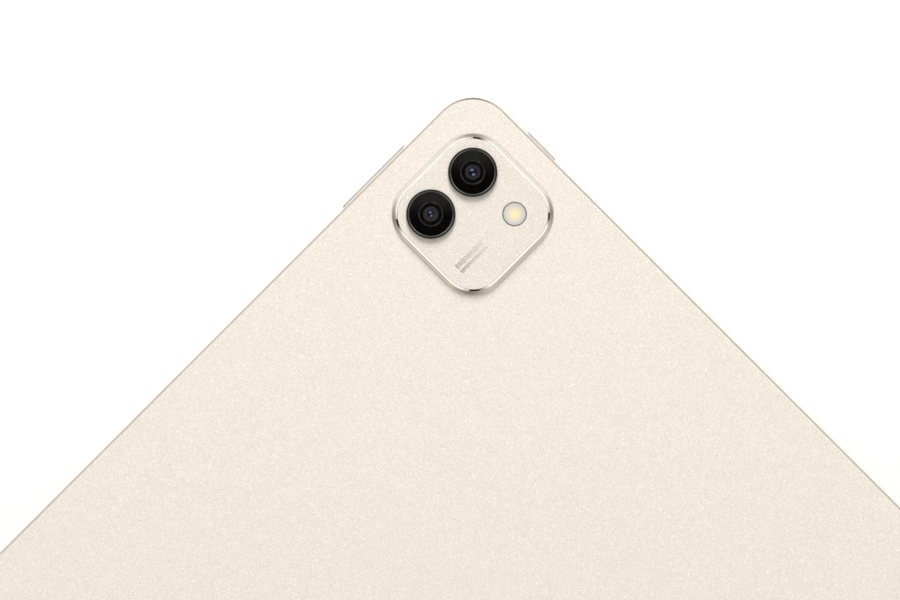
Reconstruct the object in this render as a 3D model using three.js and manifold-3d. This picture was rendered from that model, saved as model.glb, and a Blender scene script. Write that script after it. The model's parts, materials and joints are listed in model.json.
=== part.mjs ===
// Tablet computer, lying on its display with its back upwards, in millimetres, +Z up.
// The origin is the middle of the display glass, where the tablet rests.
// +X runs along the long edges towards the rear cameras, and +Y towards the edge with the volume rocker.
import * as THREE from "three";
import { mergeVertices } from "three/addons/utils/BufferGeometryUtils.js";
import Module from "manifold-3d";

const wasm = await Module();
wasm.setup();

// ---------------------------------------------------------------- driving dimensions

const BODY = { length: 259, width: 176, thickness: 6.1, radius: 10.9 };
const RIM_Z = 0.25; // the housing's front rim stands this far behind the glass
const WALL = 1.5; // side wall of the housing
const BACK_WALL = 0.8;
const GAP = 0.1; // between pieces that are glued or clipped together
const CORNER_STEPS = 10; // facets in each rounded corner
const BOX_STEPS = 3; // the same, for the hidden boxes inside
const ROUND_STEPS = 40; // facets round a turned piece

const INNER_BACK_Z = BODY.thickness - BACK_WALL;
const HALF_LENGTH = BODY.length / 2;
const HALF_WIDTH = BODY.width / 2;

// The stack of the display, from the glass up.
const GLASS = { inset: 2.3, top: 0.55 };
const FRAME = { inset: WALL + GAP, wall: 0.6, ledge: 2.6, z0: 0.1, ledgeZ: 0.65, z1: 1.5 };
const PANEL = { length: 244.4, width: 161.4, radius: 3, z0: 0.6, z1: 1.2 };
const BACKLIGHT = { length: 245, width: 162, radius: 3, z0: 1.25, z1: 2.15 };
const GRAPHITE = { halfLength: 100, halfWidth: 70, z0: 2.2, z1: 2.3 };

// The raised camera plateau on the back.
const BUMP = { x: HALF_LENGTH - 23.8, y: HALF_WIDTH - 23.8, side: 34.1, radius: 9.3 };
const BEZEL = { top: 7.13, ring: 1.35, ledge: 1.0 };
const FLANGE = { reach: 1.2, z0: 4.95, z1: 5.22 }; // the bezel's hidden lip behind the back wall
const DECK = { top: 7.05, bottom: 6.2, inset: 1.45 };
const CAMERA_OFFSET = 7.4; // from the plateau's centre to each lens, along X and Y
const LENS_RING = { radius: 6.17, neck: 5.6, seat: 5.55, bore: 4.9, top: 7.8, bottom: 6.3 };
const LENS_WINDOW = { radius: 5.48, z0: 7.38, z1: 7.75 };
const FLASH = { radius: 3.0, edge: 0.1, top: 7.1, z0: 6.35 };

// The keys in the side walls.
const KEY = { height: 2.2, proud: 0.6, z: 3.2, clearance: 0.15, chamfer: 0.25, plunger: 0.7 };
const POWER = { length: 10, y: HALF_WIDTH - 23.8, travel: 0.25 };
const VOLUME = { length: 22, x: HALF_LENGTH - 34.5, switchOffset: 6.5, flange: 10 };

const SWITCH = { half: 2, halfHeight: 1.3, body: 0.9, dome: 0.28 };
const POWER_FLEX = { x: 124.7, y: 57, length: 14, thickness: 0.3, z0: 2.4, z1: 4.4 };
const VOLUME_FLEX = { x: 82, y: 83.8, length: 26, thickness: 0.3, z0: 2.4, z1: 4.4 };

// The charging and data socket in the left short edge.
const SOCKET = { length: 8.94, height: 3.2, wall: 0.3, depth: 6.4, z: 3.3, x: -HALF_LENGTH + 0.2 };

// The electronics bay, between the backlight and the back wall.
const BOARD = { z0: 4.0, z1: 4.7, boss: 1.6 };
const SUB_BOARD = { z0: 3.6, z1: 4.3 };
const CELL = { length: 100, width: 112, z0: 2.45, z1: 5.1, y: -22, x: 52 };
const SPEAKER = { length: 28, depth: 14, x: 120.2, y: 34, z0: 2.5, z1: 4.85 };
const GRILLE = { holes: 8, pitch: 2.2, radius: 0.65, z: 3.2 };
const FRONT_CAMERA = { x: 0, y: 83 };
const LIGHT_SENSOR = { x: 12, y: 83 };
const MICROPHONES = [-25, 35]; // along the top long edge
const ANTENNA_BANDS = [-72, 72]; // along the left short edge
const BAND_WIDTH = 1.2;
const BAND_TOP = 5.4;
const SCREW = { head: 1.35, shank: 0.65, headHeight: 0.4, length: 1.35 };
const SCREW_BORE = 0.74; // threads in the bosses
const BOARD_BORE = 0.85; // screw holes in the boards

const FINISH = {
  pearl: { color: 0xf3ebdf, roughness: 0.42, metalness: 0.35 },
  polished: { color: 0xe6dccd, roughness: 0.15, metalness: 0.95 },
  blackMetal: { color: 0x0c0c0d, roughness: 0.25, metalness: 0.6 },
  darkGlass: { color: 0x050506, roughness: 0.05, metalness: 0.0 },
  clearGlass: { color: 0xe9e9e6, roughness: 0.1, metalness: 0.0 },
  blackPlastic: { color: 0x121213, roughness: 0.5, metalness: 0.0 },
  lensPlastic: { color: 0x2a2a2c, roughness: 0.35, metalness: 0.0 },
  coatedLens: { color: 0x10143a, roughness: 0.03, metalness: 0.0 },
  phosphor: { color: 0xf6e27a, roughness: 0.6, metalness: 0.0 },
  circuit: { color: 0x123d2a, roughness: 0.55, metalness: 0.0 },
  shield: { color: 0xb9bcc0, roughness: 0.35, metalness: 0.9 },
  steel: { color: 0x9a9da1, roughness: 0.3, metalness: 1.0 },
  cell: { color: 0x2b2c30, roughness: 0.45, metalness: 0.3 },
  flex: { color: 0x8a4a1c, roughness: 0.5, metalness: 0.0 },
  graphite: { color: 0x1d1e20, roughness: 0.6, metalness: 0.2 },
  creamPlastic: { color: 0xe9e0d2, roughness: 0.5, metalness: 0.0 },
};

// ---------------------------------------------------------------- outlines and solids

// Points of a rounded rectangle about the origin, anticlockwise.
function outline(length, width, radius, steps = CORNER_STEPS) {
  const points = [];
  const corners = [[1, 1], [-1, 1], [-1, -1], [1, -1]];
  corners.forEach(([sx, sy], corner) => {
    for (let i = 0; i <= steps; i++) {
      const angle = (corner + i / steps) * (Math.PI / 2);
      points.push(
        new THREE.Vector2(
          sx * (length / 2 - radius) + radius * Math.cos(angle),
          sy * (width / 2 - radius) + radius * Math.sin(angle),
        ),
      );
    }
  });
  return points.filter((p, i) => p.distanceTo(points[(i + 1) % points.length]) > 1e-6);
}

// A flat plate of that outline between two heights.
function plate(points, z0, z1) {
  const shape = new THREE.Shape(points);
  const geometry = new THREE.ExtrudeGeometry(shape, { depth: z1 - z0, bevelEnabled: false });
  return geometry.translate(0, 0, z0);
}

// A rounded slab whose outline shrinks by an inset at each level: levels are [z, inset], lowest first.
function slab(length, width, radius, levels, steps = CORNER_STEPS) {
  const rings = levels.map(([, inset]) =>
    outline(length - 2 * inset, width - 2 * inset, radius - inset, steps),
  );
  const count = rings[0].length;
  const positions = rings.flatMap((ring, k) => ring.flatMap((p) => [p.x, p.y, levels[k][0]]));
  const faces = [];
  for (let k = 0; k + 1 < rings.length; k++) {
    for (let i = 0; i < count; i++) {
      const [a, b] = [k * count + i, k * count + ((i + 1) % count)];
      faces.push(a, b, b + count, a, b + count, a + count);
    }
  }
  const last = (rings.length - 1) * count;
  for (const [a, b, c] of THREE.ShapeUtils.triangulateShape(rings[0], [])) {
    faces.push(c, b, a, last + a, last + b, last + c);
  }
  const geometry = new THREE.BufferGeometry();
  geometry.setAttribute("position", new THREE.Float32BufferAttribute(positions, 3));
  return geometry.setIndex(faces);
}

// A turned piece about the Z axis: profile is [radius, z] pairs, outside surface upwards.
function turned(profile, steps = ROUND_STEPS) {
  const points = profile.map(([r, z]) => new THREE.Vector2(r, z));
  return new THREE.LatheGeometry(points, steps).rotateX(Math.PI / 2);
}

function disc(radius, z0, z1, steps = ROUND_STEPS) {
  return turned([[0, z0], [radius, z0], [radius, z1], [0, z1]], steps);
}

// A box between two corners.
function block(x0, x1, y0, y1, z0, z1) {
  const geometry = new THREE.BoxGeometry(x1 - x0, y1 - y0, z1 - z0);
  return geometry.translate((x0 + x1) / 2, (y0 + y1) / 2, (z0 + z1) / 2);
}

function at(geometry, x, y, z = 0) {
  return geometry.clone().translate(x, y, z);
}

function solidOf(geometry) {
  const bare = geometry.clone();
  bare.deleteAttribute("normal");
  bare.deleteAttribute("uv");
  const merged = mergeVertices(bare, 1e-4);
  const mesh = new wasm.Mesh({
    numProp: 3,
    vertProperties: new Float32Array(merged.attributes.position.array),
    triVerts: new Uint32Array(merged.index.array),
  });
  return new wasm.Manifold(mesh);
}

function geometryOf(solid) {
  const mesh = solid.getMesh();
  const geometry = new THREE.BufferGeometry();
  geometry.setAttribute("position", new THREE.BufferAttribute(mesh.vertProperties, 3));
  geometry.setIndex(new THREE.BufferAttribute(mesh.triVerts, 1));
  return geometry.toNonIndexed();
}

function cut(geometry, ...tools) {
  return geometryOf(tools.reduce((solid, tool) => solid.subtract(solidOf(tool)), solidOf(geometry)));
}

function join(geometry, ...others) {
  return geometryOf(others.reduce((solid, other) => solid.add(solidOf(other)), solidOf(geometry)));
}

// ---------------------------------------------------------------- the four side walls

// Each edge's frame: x along the wall, y up, z out of the tablet.
const up = new THREE.Vector3(0, 0, 1);
const edgeFrame = (along, outwards) =>
  new THREE.Matrix4().makeBasis(new THREE.Vector3(...along), up, new THREE.Vector3(...outwards));
const RIGHT = edgeFrame([0, 1, 0], [1, 0, 0]); // short edge by the cameras, with the power key
const LEFT = edgeFrame([0, -1, 0], [-1, 0, 0]); // short edge with the socket
const TOP = edgeFrame([-1, 0, 0], [0, 1, 0]); // long edge with the volume rocker

// A piece made flat in an edge's frame, stood up at that place in the wall.
function inEdge(geometry, frame, x, y, z) {
  return geometry.clone().applyMatrix4(frame).translate(x, y, z);
}

const pill = (length, height, z0, z1) =>
  plate(outline(length, height, height / 2, 6), z0, z1);

// ---------------------------------------------------------------- the assembly

const tablet = new THREE.Group();

function add(name, geometry, finish, x = 0, y = 0, z = 0) {
  const mesh = new THREE.Mesh(geometry, new THREE.MeshStandardMaterial(FINISH[finish]));
  mesh.name = name;
  mesh.position.set(x, y, z);
  tablet.add(mesh);
}

const mainLens = [BUMP.x + CAMERA_OFFSET, BUMP.y + CAMERA_OFFSET];
const secondLens = [BUMP.x - CAMERA_OFFSET, BUMP.y + CAMERA_OFFSET];
const flash = [BUMP.x + CAMERA_OFFSET, BUMP.y - CAMERA_OFFSET];
const boardScrews = [[-26, 47], [-26, 76], [82, 47], [82, 76]];
const subBoardScrews = [[-109, -11], [-109, 11]];
const speakers = [
  ["right_upper", 1, 1],
  ["right_lower", 1, -1],
  ["left_upper", -1, 1],
  ["left_lower", -1, -1],
];

// ---- rear housing: one aluminium shell with its side walls, screw bosses and openings

const SHELL_EDGE = [
  [RIM_Z, 0.2],
  [RIM_Z + 0.2, 0],
  [BODY.thickness - 0.34, 0],
  [BODY.thickness - 0.05, 0.33],
  [BODY.thickness, 0.5],
];

function shellBlank() {
  const outer = slab(BODY.length, BODY.width, BODY.radius, SHELL_EDGE);
  const inside = outline(BODY.length - 2 * WALL, BODY.width - 2 * WALL, BODY.radius - WALL);
  return cut(outer, plate(inside, RIM_Z - 1, INNER_BACK_Z));
}

function boss(x, y, z0) {
  return at(disc(BOARD.boss, z0, INNER_BACK_Z + 0.1, 16), x, y);
}

function openings() {
  const bumpHole = plate(
    outline(BUMP.side + 0.2, BUMP.side + 0.2, BUMP.radius + 0.1),
    INNER_BACK_Z - 1,
    BODY.thickness + 1,
  );
  const keyHole = (length) =>
    pill(length + 2 * KEY.clearance, KEY.height + 2 * KEY.clearance, -WALL - 1, 1);
  const socketHole = pill(SOCKET.length + 0.3, SOCKET.height + 0.3, -WALL - 1, 1);
  const smallHole = disc(GRILLE.radius, -WALL - 1, 1, 10);
  const microphoneHole = disc(0.5, -WALL - 1, 1, 10);
  const halfBand = BAND_WIDTH / 2;
  const slotEnd = -HALF_LENGTH + WALL + 0.5;
  const bandSlot = block(-HALF_LENGTH - 1, slotEnd, -halfBand, halfBand, 0, BAND_TOP + 0.05);
  const holes = [
    at(bumpHole, BUMP.x, BUMP.y),
    inEdge(keyHole(POWER.length), RIGHT, HALF_LENGTH, POWER.y, KEY.z),
    inEdge(keyHole(VOLUME.length), TOP, VOLUME.x, HALF_WIDTH, KEY.z),
    inEdge(socketHole, LEFT, -HALF_LENGTH, 0, SOCKET.z),
    ...MICROPHONES.map((x) => inEdge(microphoneHole, TOP, x, HALF_WIDTH, KEY.z)),
    ...ANTENNA_BANDS.map((y) => at(bandSlot, 0, y)),
  ];
  for (const [, sx, sy] of speakers) {
    for (let i = 0; i < GRILLE.holes; i++) {
      const y = sy * SPEAKER.y + (i - (GRILLE.holes - 1) / 2) * GRILLE.pitch;
      holes.push(inEdge(smallHole, sx > 0 ? RIGHT : LEFT, sx * HALF_LENGTH, y, GRILLE.z));
    }
  }
  return holes;
}

function rearHousing() {
  const bosses = [
    ...boardScrews.map(([x, y]) => boss(x, y, BOARD.z1 + 0.05)),
    ...subBoardScrews.map(([x, y]) => boss(x, y, SUB_BOARD.z1 + 0.05)),
  ];
  const threads = [...boardScrews, ...subBoardScrews].map(([x, y]) =>
    at(disc(SCREW_BORE, SUB_BOARD.z1 - 1, INNER_BACK_Z + 0.3, 16), x, y),
  );
  return cut(join(shellBlank(), ...bosses), ...openings(), ...threads);
}

add("rear_housing", rearHousing(), "pearl");

ANTENNA_BANDS.forEach((y, i) => {
  const half = BAND_WIDTH / 2 - 0.03;
  const band = block(-HALF_LENGTH, -HALF_LENGTH + WALL, -half, half, RIM_Z + 0.2, BAND_TOP);
  add(`antenna_band_${i + 1}`, band, "creamPlastic", 0, y);
});

// ---- display: cover glass in a plastic frame, liquid crystal panel, backlight, heat spreader

function coverGlass() {
  const length = BODY.length - 2 * GLASS.inset;
  const width = BODY.width - 2 * GLASS.inset;
  const edge = [[0, 0.35], [0.12, 0.1], [0.3, 0], [GLASS.top, 0]];
  return slab(length, width, BODY.radius - GLASS.inset, edge);
}

function displayFrame() {
  const ring = (inset) =>
    outline(BODY.length - 2 * inset, BODY.width - 2 * inset, BODY.radius - inset);
  const blank = plate(ring(FRAME.inset), FRAME.z0, FRAME.z1);
  const glassPocket = plate(ring(FRAME.inset + FRAME.wall), FRAME.z0 - 1, FRAME.ledgeZ);
  const window = plate(ring(FRAME.inset + FRAME.ledge), FRAME.z0 - 1, FRAME.z1 + 1);
  const cameraHole = at(disc(2.05, 0, 3, 20), FRONT_CAMERA.x, FRONT_CAMERA.y);
  const sensorHole = at(disc(1.1, 0, 3, 12), LIGHT_SENSOR.x, LIGHT_SENSOR.y);
  return cut(blank, glassPocket, window, cameraHole, sensorHole);
}

add("display_glass", coverGlass(), "darkGlass");
add("display_frame", displayFrame(), "blackPlastic");
for (const [name, part, finish] of [
  ["display_panel", PANEL, "darkGlass"],
  ["backlight_unit", BACKLIGHT, "shield"],
]) {
  add(name, plate(outline(part.length, part.width, part.radius, 3), part.z0, part.z1), finish);
}

function heatSpreader() {
  const { halfLength, halfWidth, z0, z1 } = GRAPHITE;
  return block(-halfLength, halfLength, -halfWidth, halfWidth, z0, z1);
}

add("heat_spreader", heatSpreader(), "graphite");

// ---- camera plateau: polished bezel with a hidden flange, deck plate, rings, windows and flash

function cameraBezel() {
  const wall = slab(BUMP.side, BUMP.side, BUMP.radius, [
    [FLANGE.z1 - 0.1, 0],
    [BODY.thickness + 0.05, 0],
    [BEZEL.top - 0.17, 0.85],
    [BEZEL.top - 0.05, 1.08],
    [BEZEL.top, 1.25],
  ]);
  const frame = (inset, z0, z1) => {
    const side = BUMP.side - 2 * inset;
    return plate(outline(side, side, BUMP.radius - inset), z0, z1);
  };
  const flange = frame(-FLANGE.reach, FLANGE.z0, FLANGE.z1);
  const pocket = frame(BEZEL.ring, DECK.bottom - 0.1, BEZEL.top + 1);
  const bore = frame(BEZEL.ring + BEZEL.ledge, FLANGE.z0 - 1, DECK.bottom + 1);
  return cut(join(wall, flange), pocket, bore);
}

function cameraDeck() {
  const side = BUMP.side - 2 * DECK.inset;
  const deck = slab(side, side, BUMP.radius - DECK.inset, [[DECK.bottom, 0], [DECK.top, 0]]);
  const neckHole = disc(LENS_RING.neck + 0.12, DECK.bottom - 1, DECK.top + 1);
  const flashHole = disc(FLASH.radius + 0.08, DECK.bottom - 1, DECK.top + 1, 32);
  return cut(
    deck,
    at(neckHole, CAMERA_OFFSET, CAMERA_OFFSET),
    at(neckHole, -CAMERA_OFFSET, CAMERA_OFFSET),
    at(flashHole, CAMERA_OFFSET, -CAMERA_OFFSET),
  );
}

function lensRing() {
  const { radius, neck, seat, bore, top, bottom } = LENS_RING;
  return turned([
    [bore, bottom],
    [neck, bottom],
    [neck, DECK.top + 0.05],
    [radius, DECK.top + 0.05],
    [radius, top - 0.2],
    [radius - 0.18, top],
    [seat + 0.08, top],
    [seat, top - 0.08],
    [seat, LENS_WINDOW.z0 - 0.05],
    [bore, LENS_WINDOW.z0 - 0.05],
    [bore, bottom],
  ]);
}

function lensWindow() {
  const { radius, z0, z1 } = LENS_WINDOW;
  return turned([[0, z0], [radius, z0], [radius, z1 - 0.1], [radius - 0.1, z1], [0, z1]]);
}

add("camera_bezel", cameraBezel(), "polished", BUMP.x, BUMP.y);
add("camera_deck", cameraDeck(), "pearl", BUMP.x, BUMP.y);
for (const [name, [x, y]] of [["main", mainLens], ["second", secondLens]]) {
  add(`${name}_lens_ring`, lensRing(), "blackMetal", x, y);
  add(`${name}_lens_window`, lensWindow(), "darkGlass", x, y);
}

function flashDiffuser() {
  const { radius, edge, top, z0 } = FLASH;
  return turned(
    [[0, z0], [radius - edge, z0], [radius, z0 + edge],
      [radius, top - edge], [radius - edge, top], [0, top]],
    32,
  );
}

add("flash_diffuser", flashDiffuser(), "clearGlass", ...flash);
add("flash_board", block(-2.5, 2.5, -2.5, 2.5, 5.35, 5.8), "circuit", ...flash);
add("flash_led", block(-0.9, 0.9, -0.9, 0.9, 5.85, 6.25), "phosphor", ...flash);

// ---- rear camera modules: body, lens barrel and front element; the main barrel focuses

function lensBarrel(radius, z0, z1, eye) {
  return turned(
    [[0, z0], [radius, z0], [radius, z1 - 0.15], [radius - 0.15, z1], [radius - 0.4, z1],
      [eye + 0.2, z1 - 0.55], [eye + 0.2, z1 - 1.0], [0, z1 - 1.0]],
    32,
  );
}

function frontElement(radius, z0) {
  return turned(
    [[0, z0], [radius, z0], [radius, z0 + 0.15], [radius * 0.75, z0 + 0.33],
      [radius * 0.4, z0 + 0.44], [0, z0 + 0.48]],
    24,
  );
}

function moduleBody(side, z0, z1, holeRadius, holeZ) {
  const levels = [[z0, 0.1], [z0 + 0.1, 0], [z1 - 0.15, 0], [z1, 0.15]];
  const body = slab(side, side, 0.8, levels, BOX_STEPS);
  return cut(body, disc(holeRadius, holeZ, z1 + 1, 32));
}

add("main_camera_body", moduleBody(9.6, 2.45, 6.1, 3.4, 4.3), "steel", ...mainLens);
add("main_lens_barrel", lensBarrel(3.2, 4.6, 6.9, 1.6), "lensPlastic", ...mainLens);
add("main_front_lens", frontElement(1.55, 5.95), "coatedLens", ...mainLens);
add("second_camera_body", moduleBody(8.4, 2.85, 6.0, 3.4, 4.5), "steel", ...secondLens);
add("second_lens_barrel", lensBarrel(3.2, 4.7, 6.9, 1.1), "lensPlastic", ...secondLens);
add("second_front_lens", frontElement(1.05, 5.95), "coatedLens", ...secondLens);

// ---- keys: caps through the side walls, with plungers over dome switches

function keyCap(length, flangeLength, depth) {
  const half = KEY.height / 2;
  const cap = slab(length, KEY.height, half - 0.01, [
    [-depth, 0],
    [KEY.proud - KEY.chamfer, 0],
    [KEY.proud - 0.06, 0.07],
    [KEY.proud, 0.22],
  ]);
  const reach = flangeLength / 2;
  const flange = block(-reach, reach, -1.6, 1.6, -WALL - 0.65, -WALL - KEY.clearance);
  const neck = block(0.2 - reach, reach - 0.2, -0.9, 0.9, -WALL - 0.4, -WALL + 0.3);
  return join(cap, neck, flange);
}

const plunger = (tip) => disc(KEY.plunger, tip, -WALL + 0.4, 12);

function powerKey() {
  const key = join(keyCap(POWER.length, 8, WALL - 0.1), plunger(-WALL - 1.4));
  return key.applyMatrix4(RIGHT);
}

function volumeKey() {
  const tip = plunger(-WALL - 1.0);
  const { length, flange, switchOffset } = VOLUME;
  const cap = keyCap(length, flange, WALL - 0.05);
  return join(cap, at(tip, switchOffset, 0), at(tip, -switchOffset, 0)).applyMatrix4(TOP);
}

// A dome switch in an edge's frame: body, then the dome that the plunger meets.
function domeSwitch(base, frame) {
  const { half, halfHeight, body, dome } = SWITCH;
  const cap = turned(
    [[0, base], [1.3, base], [1.1, base + 0.15], [0.6, base + dome - 0.03], [0, base + dome]],
    16,
  );
  const box = block(-half, half, -halfHeight, halfHeight, base - body, base + 0.02);
  return join(box, cap).applyMatrix4(frame);
}

const powerSwitch = domeSwitch(-WALL - 1.98, RIGHT);
const volumeSwitch = domeSwitch(-WALL - 1.48, TOP);

function powerFlex() {
  const { x, y, length, thickness, z0, z1 } = POWER_FLEX;
  return block(x, x + thickness, y, y + length, z0, z1);
}

function volumeFlex() {
  const { x, y, length, thickness, z0, z1 } = VOLUME_FLEX;
  return block(x, x + length, y, y + thickness, z0, z1);
}

add("power_button", powerKey(), "polished", HALF_LENGTH, POWER.y, KEY.z);
add("volume_rocker", volumeKey(), "polished", VOLUME.x, HALF_WIDTH, KEY.z);
add("power_switch", powerSwitch, "steel", HALF_LENGTH, POWER.y, KEY.z);
for (const [name, side] of [["up", 1], ["down", -1]]) {
  const x = VOLUME.x + side * VOLUME.switchOffset;
  add(`volume_${name}_switch`, volumeSwitch, "steel", x, HALF_WIDTH, KEY.z);
}
add("power_flex", powerFlex(), "flex");
add("volume_flex", volumeFlex(), "flex");

// ---- socket: steel shell with a contact tongue, on its own small board

function socketShell() {
  const outer = pill(SOCKET.length, SOCKET.height, -SOCKET.depth, 0);
  const inner = pill(
    SOCKET.length - 2 * SOCKET.wall,
    SOCKET.height - 2 * SOCKET.wall,
    -SOCKET.depth - 1,
    1,
  );
  return cut(outer, inner).applyMatrix4(LEFT);
}

function socketTongue() {
  const root = pill(8.2, 2.46, -SOCKET.depth, -SOCKET.depth + 1.3);
  const tongue = block(-3.35, 3.35, -0.35, 0.35, -SOCKET.depth + 1.2, -1.1);
  return join(root, tongue).applyMatrix4(LEFT);
}

// Holes for a board's screws.
function screwHoles(places, board) {
  const hole = disc(BOARD_BORE, board.z0 - 1, board.z1 + 1, 16);
  return places.map(([x, y]) => at(hole, x, y));
}

function socketBoard() {
  const board = block(-127, -105, -14, 14, SUB_BOARD.z0, SUB_BOARD.z1);
  const notch = block(-128, -122.7, -4.7, 4.7, SUB_BOARD.z0 - 1, SUB_BOARD.z1 + 1);
  return cut(board, notch, ...screwHoles(subBoardScrews, SUB_BOARD));
}

add("socket_shell", socketShell(), "steel", SOCKET.x, 0, SOCKET.z);
add("socket_tongue", socketTongue(), "blackPlastic", SOCKET.x, 0, SOCKET.z);
add("socket_board", socketBoard(), "circuit");

// ---- main board with its processor, shield cans and screws

function mainBoard() {
  const board = block(-31, 87, 43, 80, BOARD.z0, BOARD.z1);
  return cut(board, ...screwHoles(boardScrews, BOARD));
}

// A pressed shield can, open towards the board above it.
function shieldCan(length, width) {
  const [top, bottom] = [BOARD.z0 - 0.05, 2.6];
  const can = slab(length, width, 1, [[bottom, 0.15], [bottom + 0.15, 0], [top, 0]], BOX_STEPS);
  const hollow = plate(outline(length - 0.5, width - 0.5, 0.75, 3), bottom + 0.25, top + 1);
  return cut(can, hollow);
}

function screw() {
  const { head, shank, headHeight, length } = SCREW;
  return turned(
    [[0, -headHeight], [head - 0.15, -headHeight], [head, 0.15 - headHeight], [head, 0], [shank, 0],
      [shank, length], [0, length]],
    16,
  );
}

add("main_board", mainBoard(), "circuit");
add("processor", block(-7, 7, -7, 7, 2.95, BOARD.z0 - 0.05), "blackPlastic", 10, 60);
add("processor_shield", shieldCan(34, 24), "shield", 10, 60);
add("memory_shield", shieldCan(24, 20), "shield", 52, 62);
boardScrews.forEach(([x, y], i) => {
  add(`board_screw_${i + 1}`, screw(), "steel", x, y, BOARD.z0 - 0.05);
});
subBoardScrews.forEach(([x, y], i) => {
  add(`socket_board_screw_${i + 1}`, screw(), "steel", x, y, SUB_BOARD.z0 - 0.05);
});

// ---- batteries and the flat cables between the boards

function batteryCell() {
  const { length, width, z0, z1 } = CELL;
  return slab(length, width, 2, [[z0, 0.4], [z0 + 0.4, 0], [z1 - 0.4, 0], [z1, 0.4]], BOX_STEPS);
}

add("battery_cell_left", batteryCell(), "cell", -CELL.x, CELL.y);
add("battery_cell_right", batteryCell(), "cell", CELL.x, CELL.y);
add("battery_board", block(-40, 40, 35.2, 39.5, 4.0, 4.8), "circuit");

const linkPath = [[-106.9, -6], [-102.5, -6], [-102.5, 50], [-24, 50], [-24, 58], [-106.9, 58]];
add("link_flex", plate(linkPath.map(([x, y]) => new THREE.Vector2(x, y)), 4.75, 4.95), "flex");

// The display cable rises from the backlight to the board in one step.
function displayFlex() {
  const thickness = 0.15;
  const side = [[41, 2.35], [42.2, 2.35], [42.7, 3.7], [46.5, 3.7]];
  const lower = side.map(([y, z]) => new THREE.Vector2(y, z));
  const upper = side.map(([y, z]) => new THREE.Vector2(y, z + thickness)).reverse();
  const cable = plate([...lower, ...upper], -9, 9);
  const stood = new THREE.Matrix4().makeBasis(
    new THREE.Vector3(0, 1, 0),
    new THREE.Vector3(0, 0, 1),
    new THREE.Vector3(1, 0, 0),
  );
  return cable.applyMatrix4(stood);
}

add("display_flex", displayFlex(), "flex", 36);

// ---- loudspeakers behind the grilles, each with a dust mesh

function speakerBox() {
  const { depth, length, z0, z1 } = SPEAKER;
  return slab(depth, length, 1.5, [[z0, 0.3], [z0 + 0.3, 0], [z1 - 0.3, 0], [z1, 0.3]], BOX_STEPS);
}

for (const [place, sx, sy] of speakers) {
  add(`speaker_${place}`, speakerBox(), "blackPlastic", sx * SPEAKER.x, sy * SPEAKER.y);
  const mesh = block(-0.08, 0.08, -9.3, 9.3, 1.9, 4.5);
  add(`speaker_mesh_${place}`, mesh, "steel", sx * (HALF_LENGTH - WALL - 0.25), sy * SPEAKER.y);
}

// ---- front camera, light sensor and microphones along the top edge

function frontCamera() {
  const body = block(-2.8, 2.8, -2.4, 2.4, 2.3, 4.9);
  return join(body, disc(1.7, 0.65, 2.4, 24));
}

add("front_camera", frontCamera(), "blackPlastic", FRONT_CAMERA.x, FRONT_CAMERA.y);
const sensor = block(-1.2, 1.2, -1.1, 1.1, 1.6, 2.4);
add("light_sensor", sensor, "blackPlastic", LIGHT_SENSOR.x, LIGHT_SENSOR.y);
MICROPHONES.forEach((x, i) => {
  const body = block(-1.8, 1.8, -0.9, 0.8, 2.6, 3.8);
  add(`microphone_${i + 1}`, body, "shield", x, HALF_WIDTH - WALL - 1);
});

export default tablet;
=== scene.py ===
# %% [markdown]
# # A tablet computer, lying on its display
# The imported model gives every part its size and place. This lesson builds the outside again with fine
# edges and gives each part, inside and out, the finish of the real thing. One outline tool, one turning
# tool and a small box of shared textures are enough for nearly all of it.

# %% Load the fixed frame
import json
import math

import bmesh
import bpy
from mathutils import Matrix, Vector

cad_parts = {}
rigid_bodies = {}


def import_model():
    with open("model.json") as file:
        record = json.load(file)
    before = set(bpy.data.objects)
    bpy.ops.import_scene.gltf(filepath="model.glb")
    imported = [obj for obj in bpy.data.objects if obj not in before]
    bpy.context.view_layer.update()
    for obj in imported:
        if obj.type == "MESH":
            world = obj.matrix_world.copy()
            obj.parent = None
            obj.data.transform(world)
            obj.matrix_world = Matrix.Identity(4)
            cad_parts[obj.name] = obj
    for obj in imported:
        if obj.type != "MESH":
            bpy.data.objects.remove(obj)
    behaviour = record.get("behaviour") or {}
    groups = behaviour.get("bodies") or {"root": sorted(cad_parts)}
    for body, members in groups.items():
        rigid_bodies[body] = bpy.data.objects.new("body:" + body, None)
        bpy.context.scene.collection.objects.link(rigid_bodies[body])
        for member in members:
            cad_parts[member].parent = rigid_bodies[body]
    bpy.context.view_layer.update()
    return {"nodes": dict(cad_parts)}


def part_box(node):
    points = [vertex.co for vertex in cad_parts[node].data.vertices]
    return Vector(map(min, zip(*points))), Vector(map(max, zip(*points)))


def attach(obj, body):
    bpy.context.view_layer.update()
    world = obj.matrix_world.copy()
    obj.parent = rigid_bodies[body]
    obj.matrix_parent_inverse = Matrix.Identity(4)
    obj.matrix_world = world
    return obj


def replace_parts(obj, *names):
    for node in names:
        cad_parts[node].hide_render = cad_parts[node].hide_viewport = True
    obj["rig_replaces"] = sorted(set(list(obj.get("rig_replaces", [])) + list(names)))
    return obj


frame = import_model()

nodes = frame["nodes"]

# %% [markdown]
# ## Sizes
# Blender works in metres, but a tablet is easier to think of in millimetres. Every size below is in
# millimetres, and each shape is scaled once, at the end. The sizes that the frame knows are read from it.

# %% Read the main sizes from the frame
MM = 0.001


def box_mm(node):
    """Lowest and highest corner of a part, in millimetres."""
    low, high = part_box(node)
    return low / MM, high / MM


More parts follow.
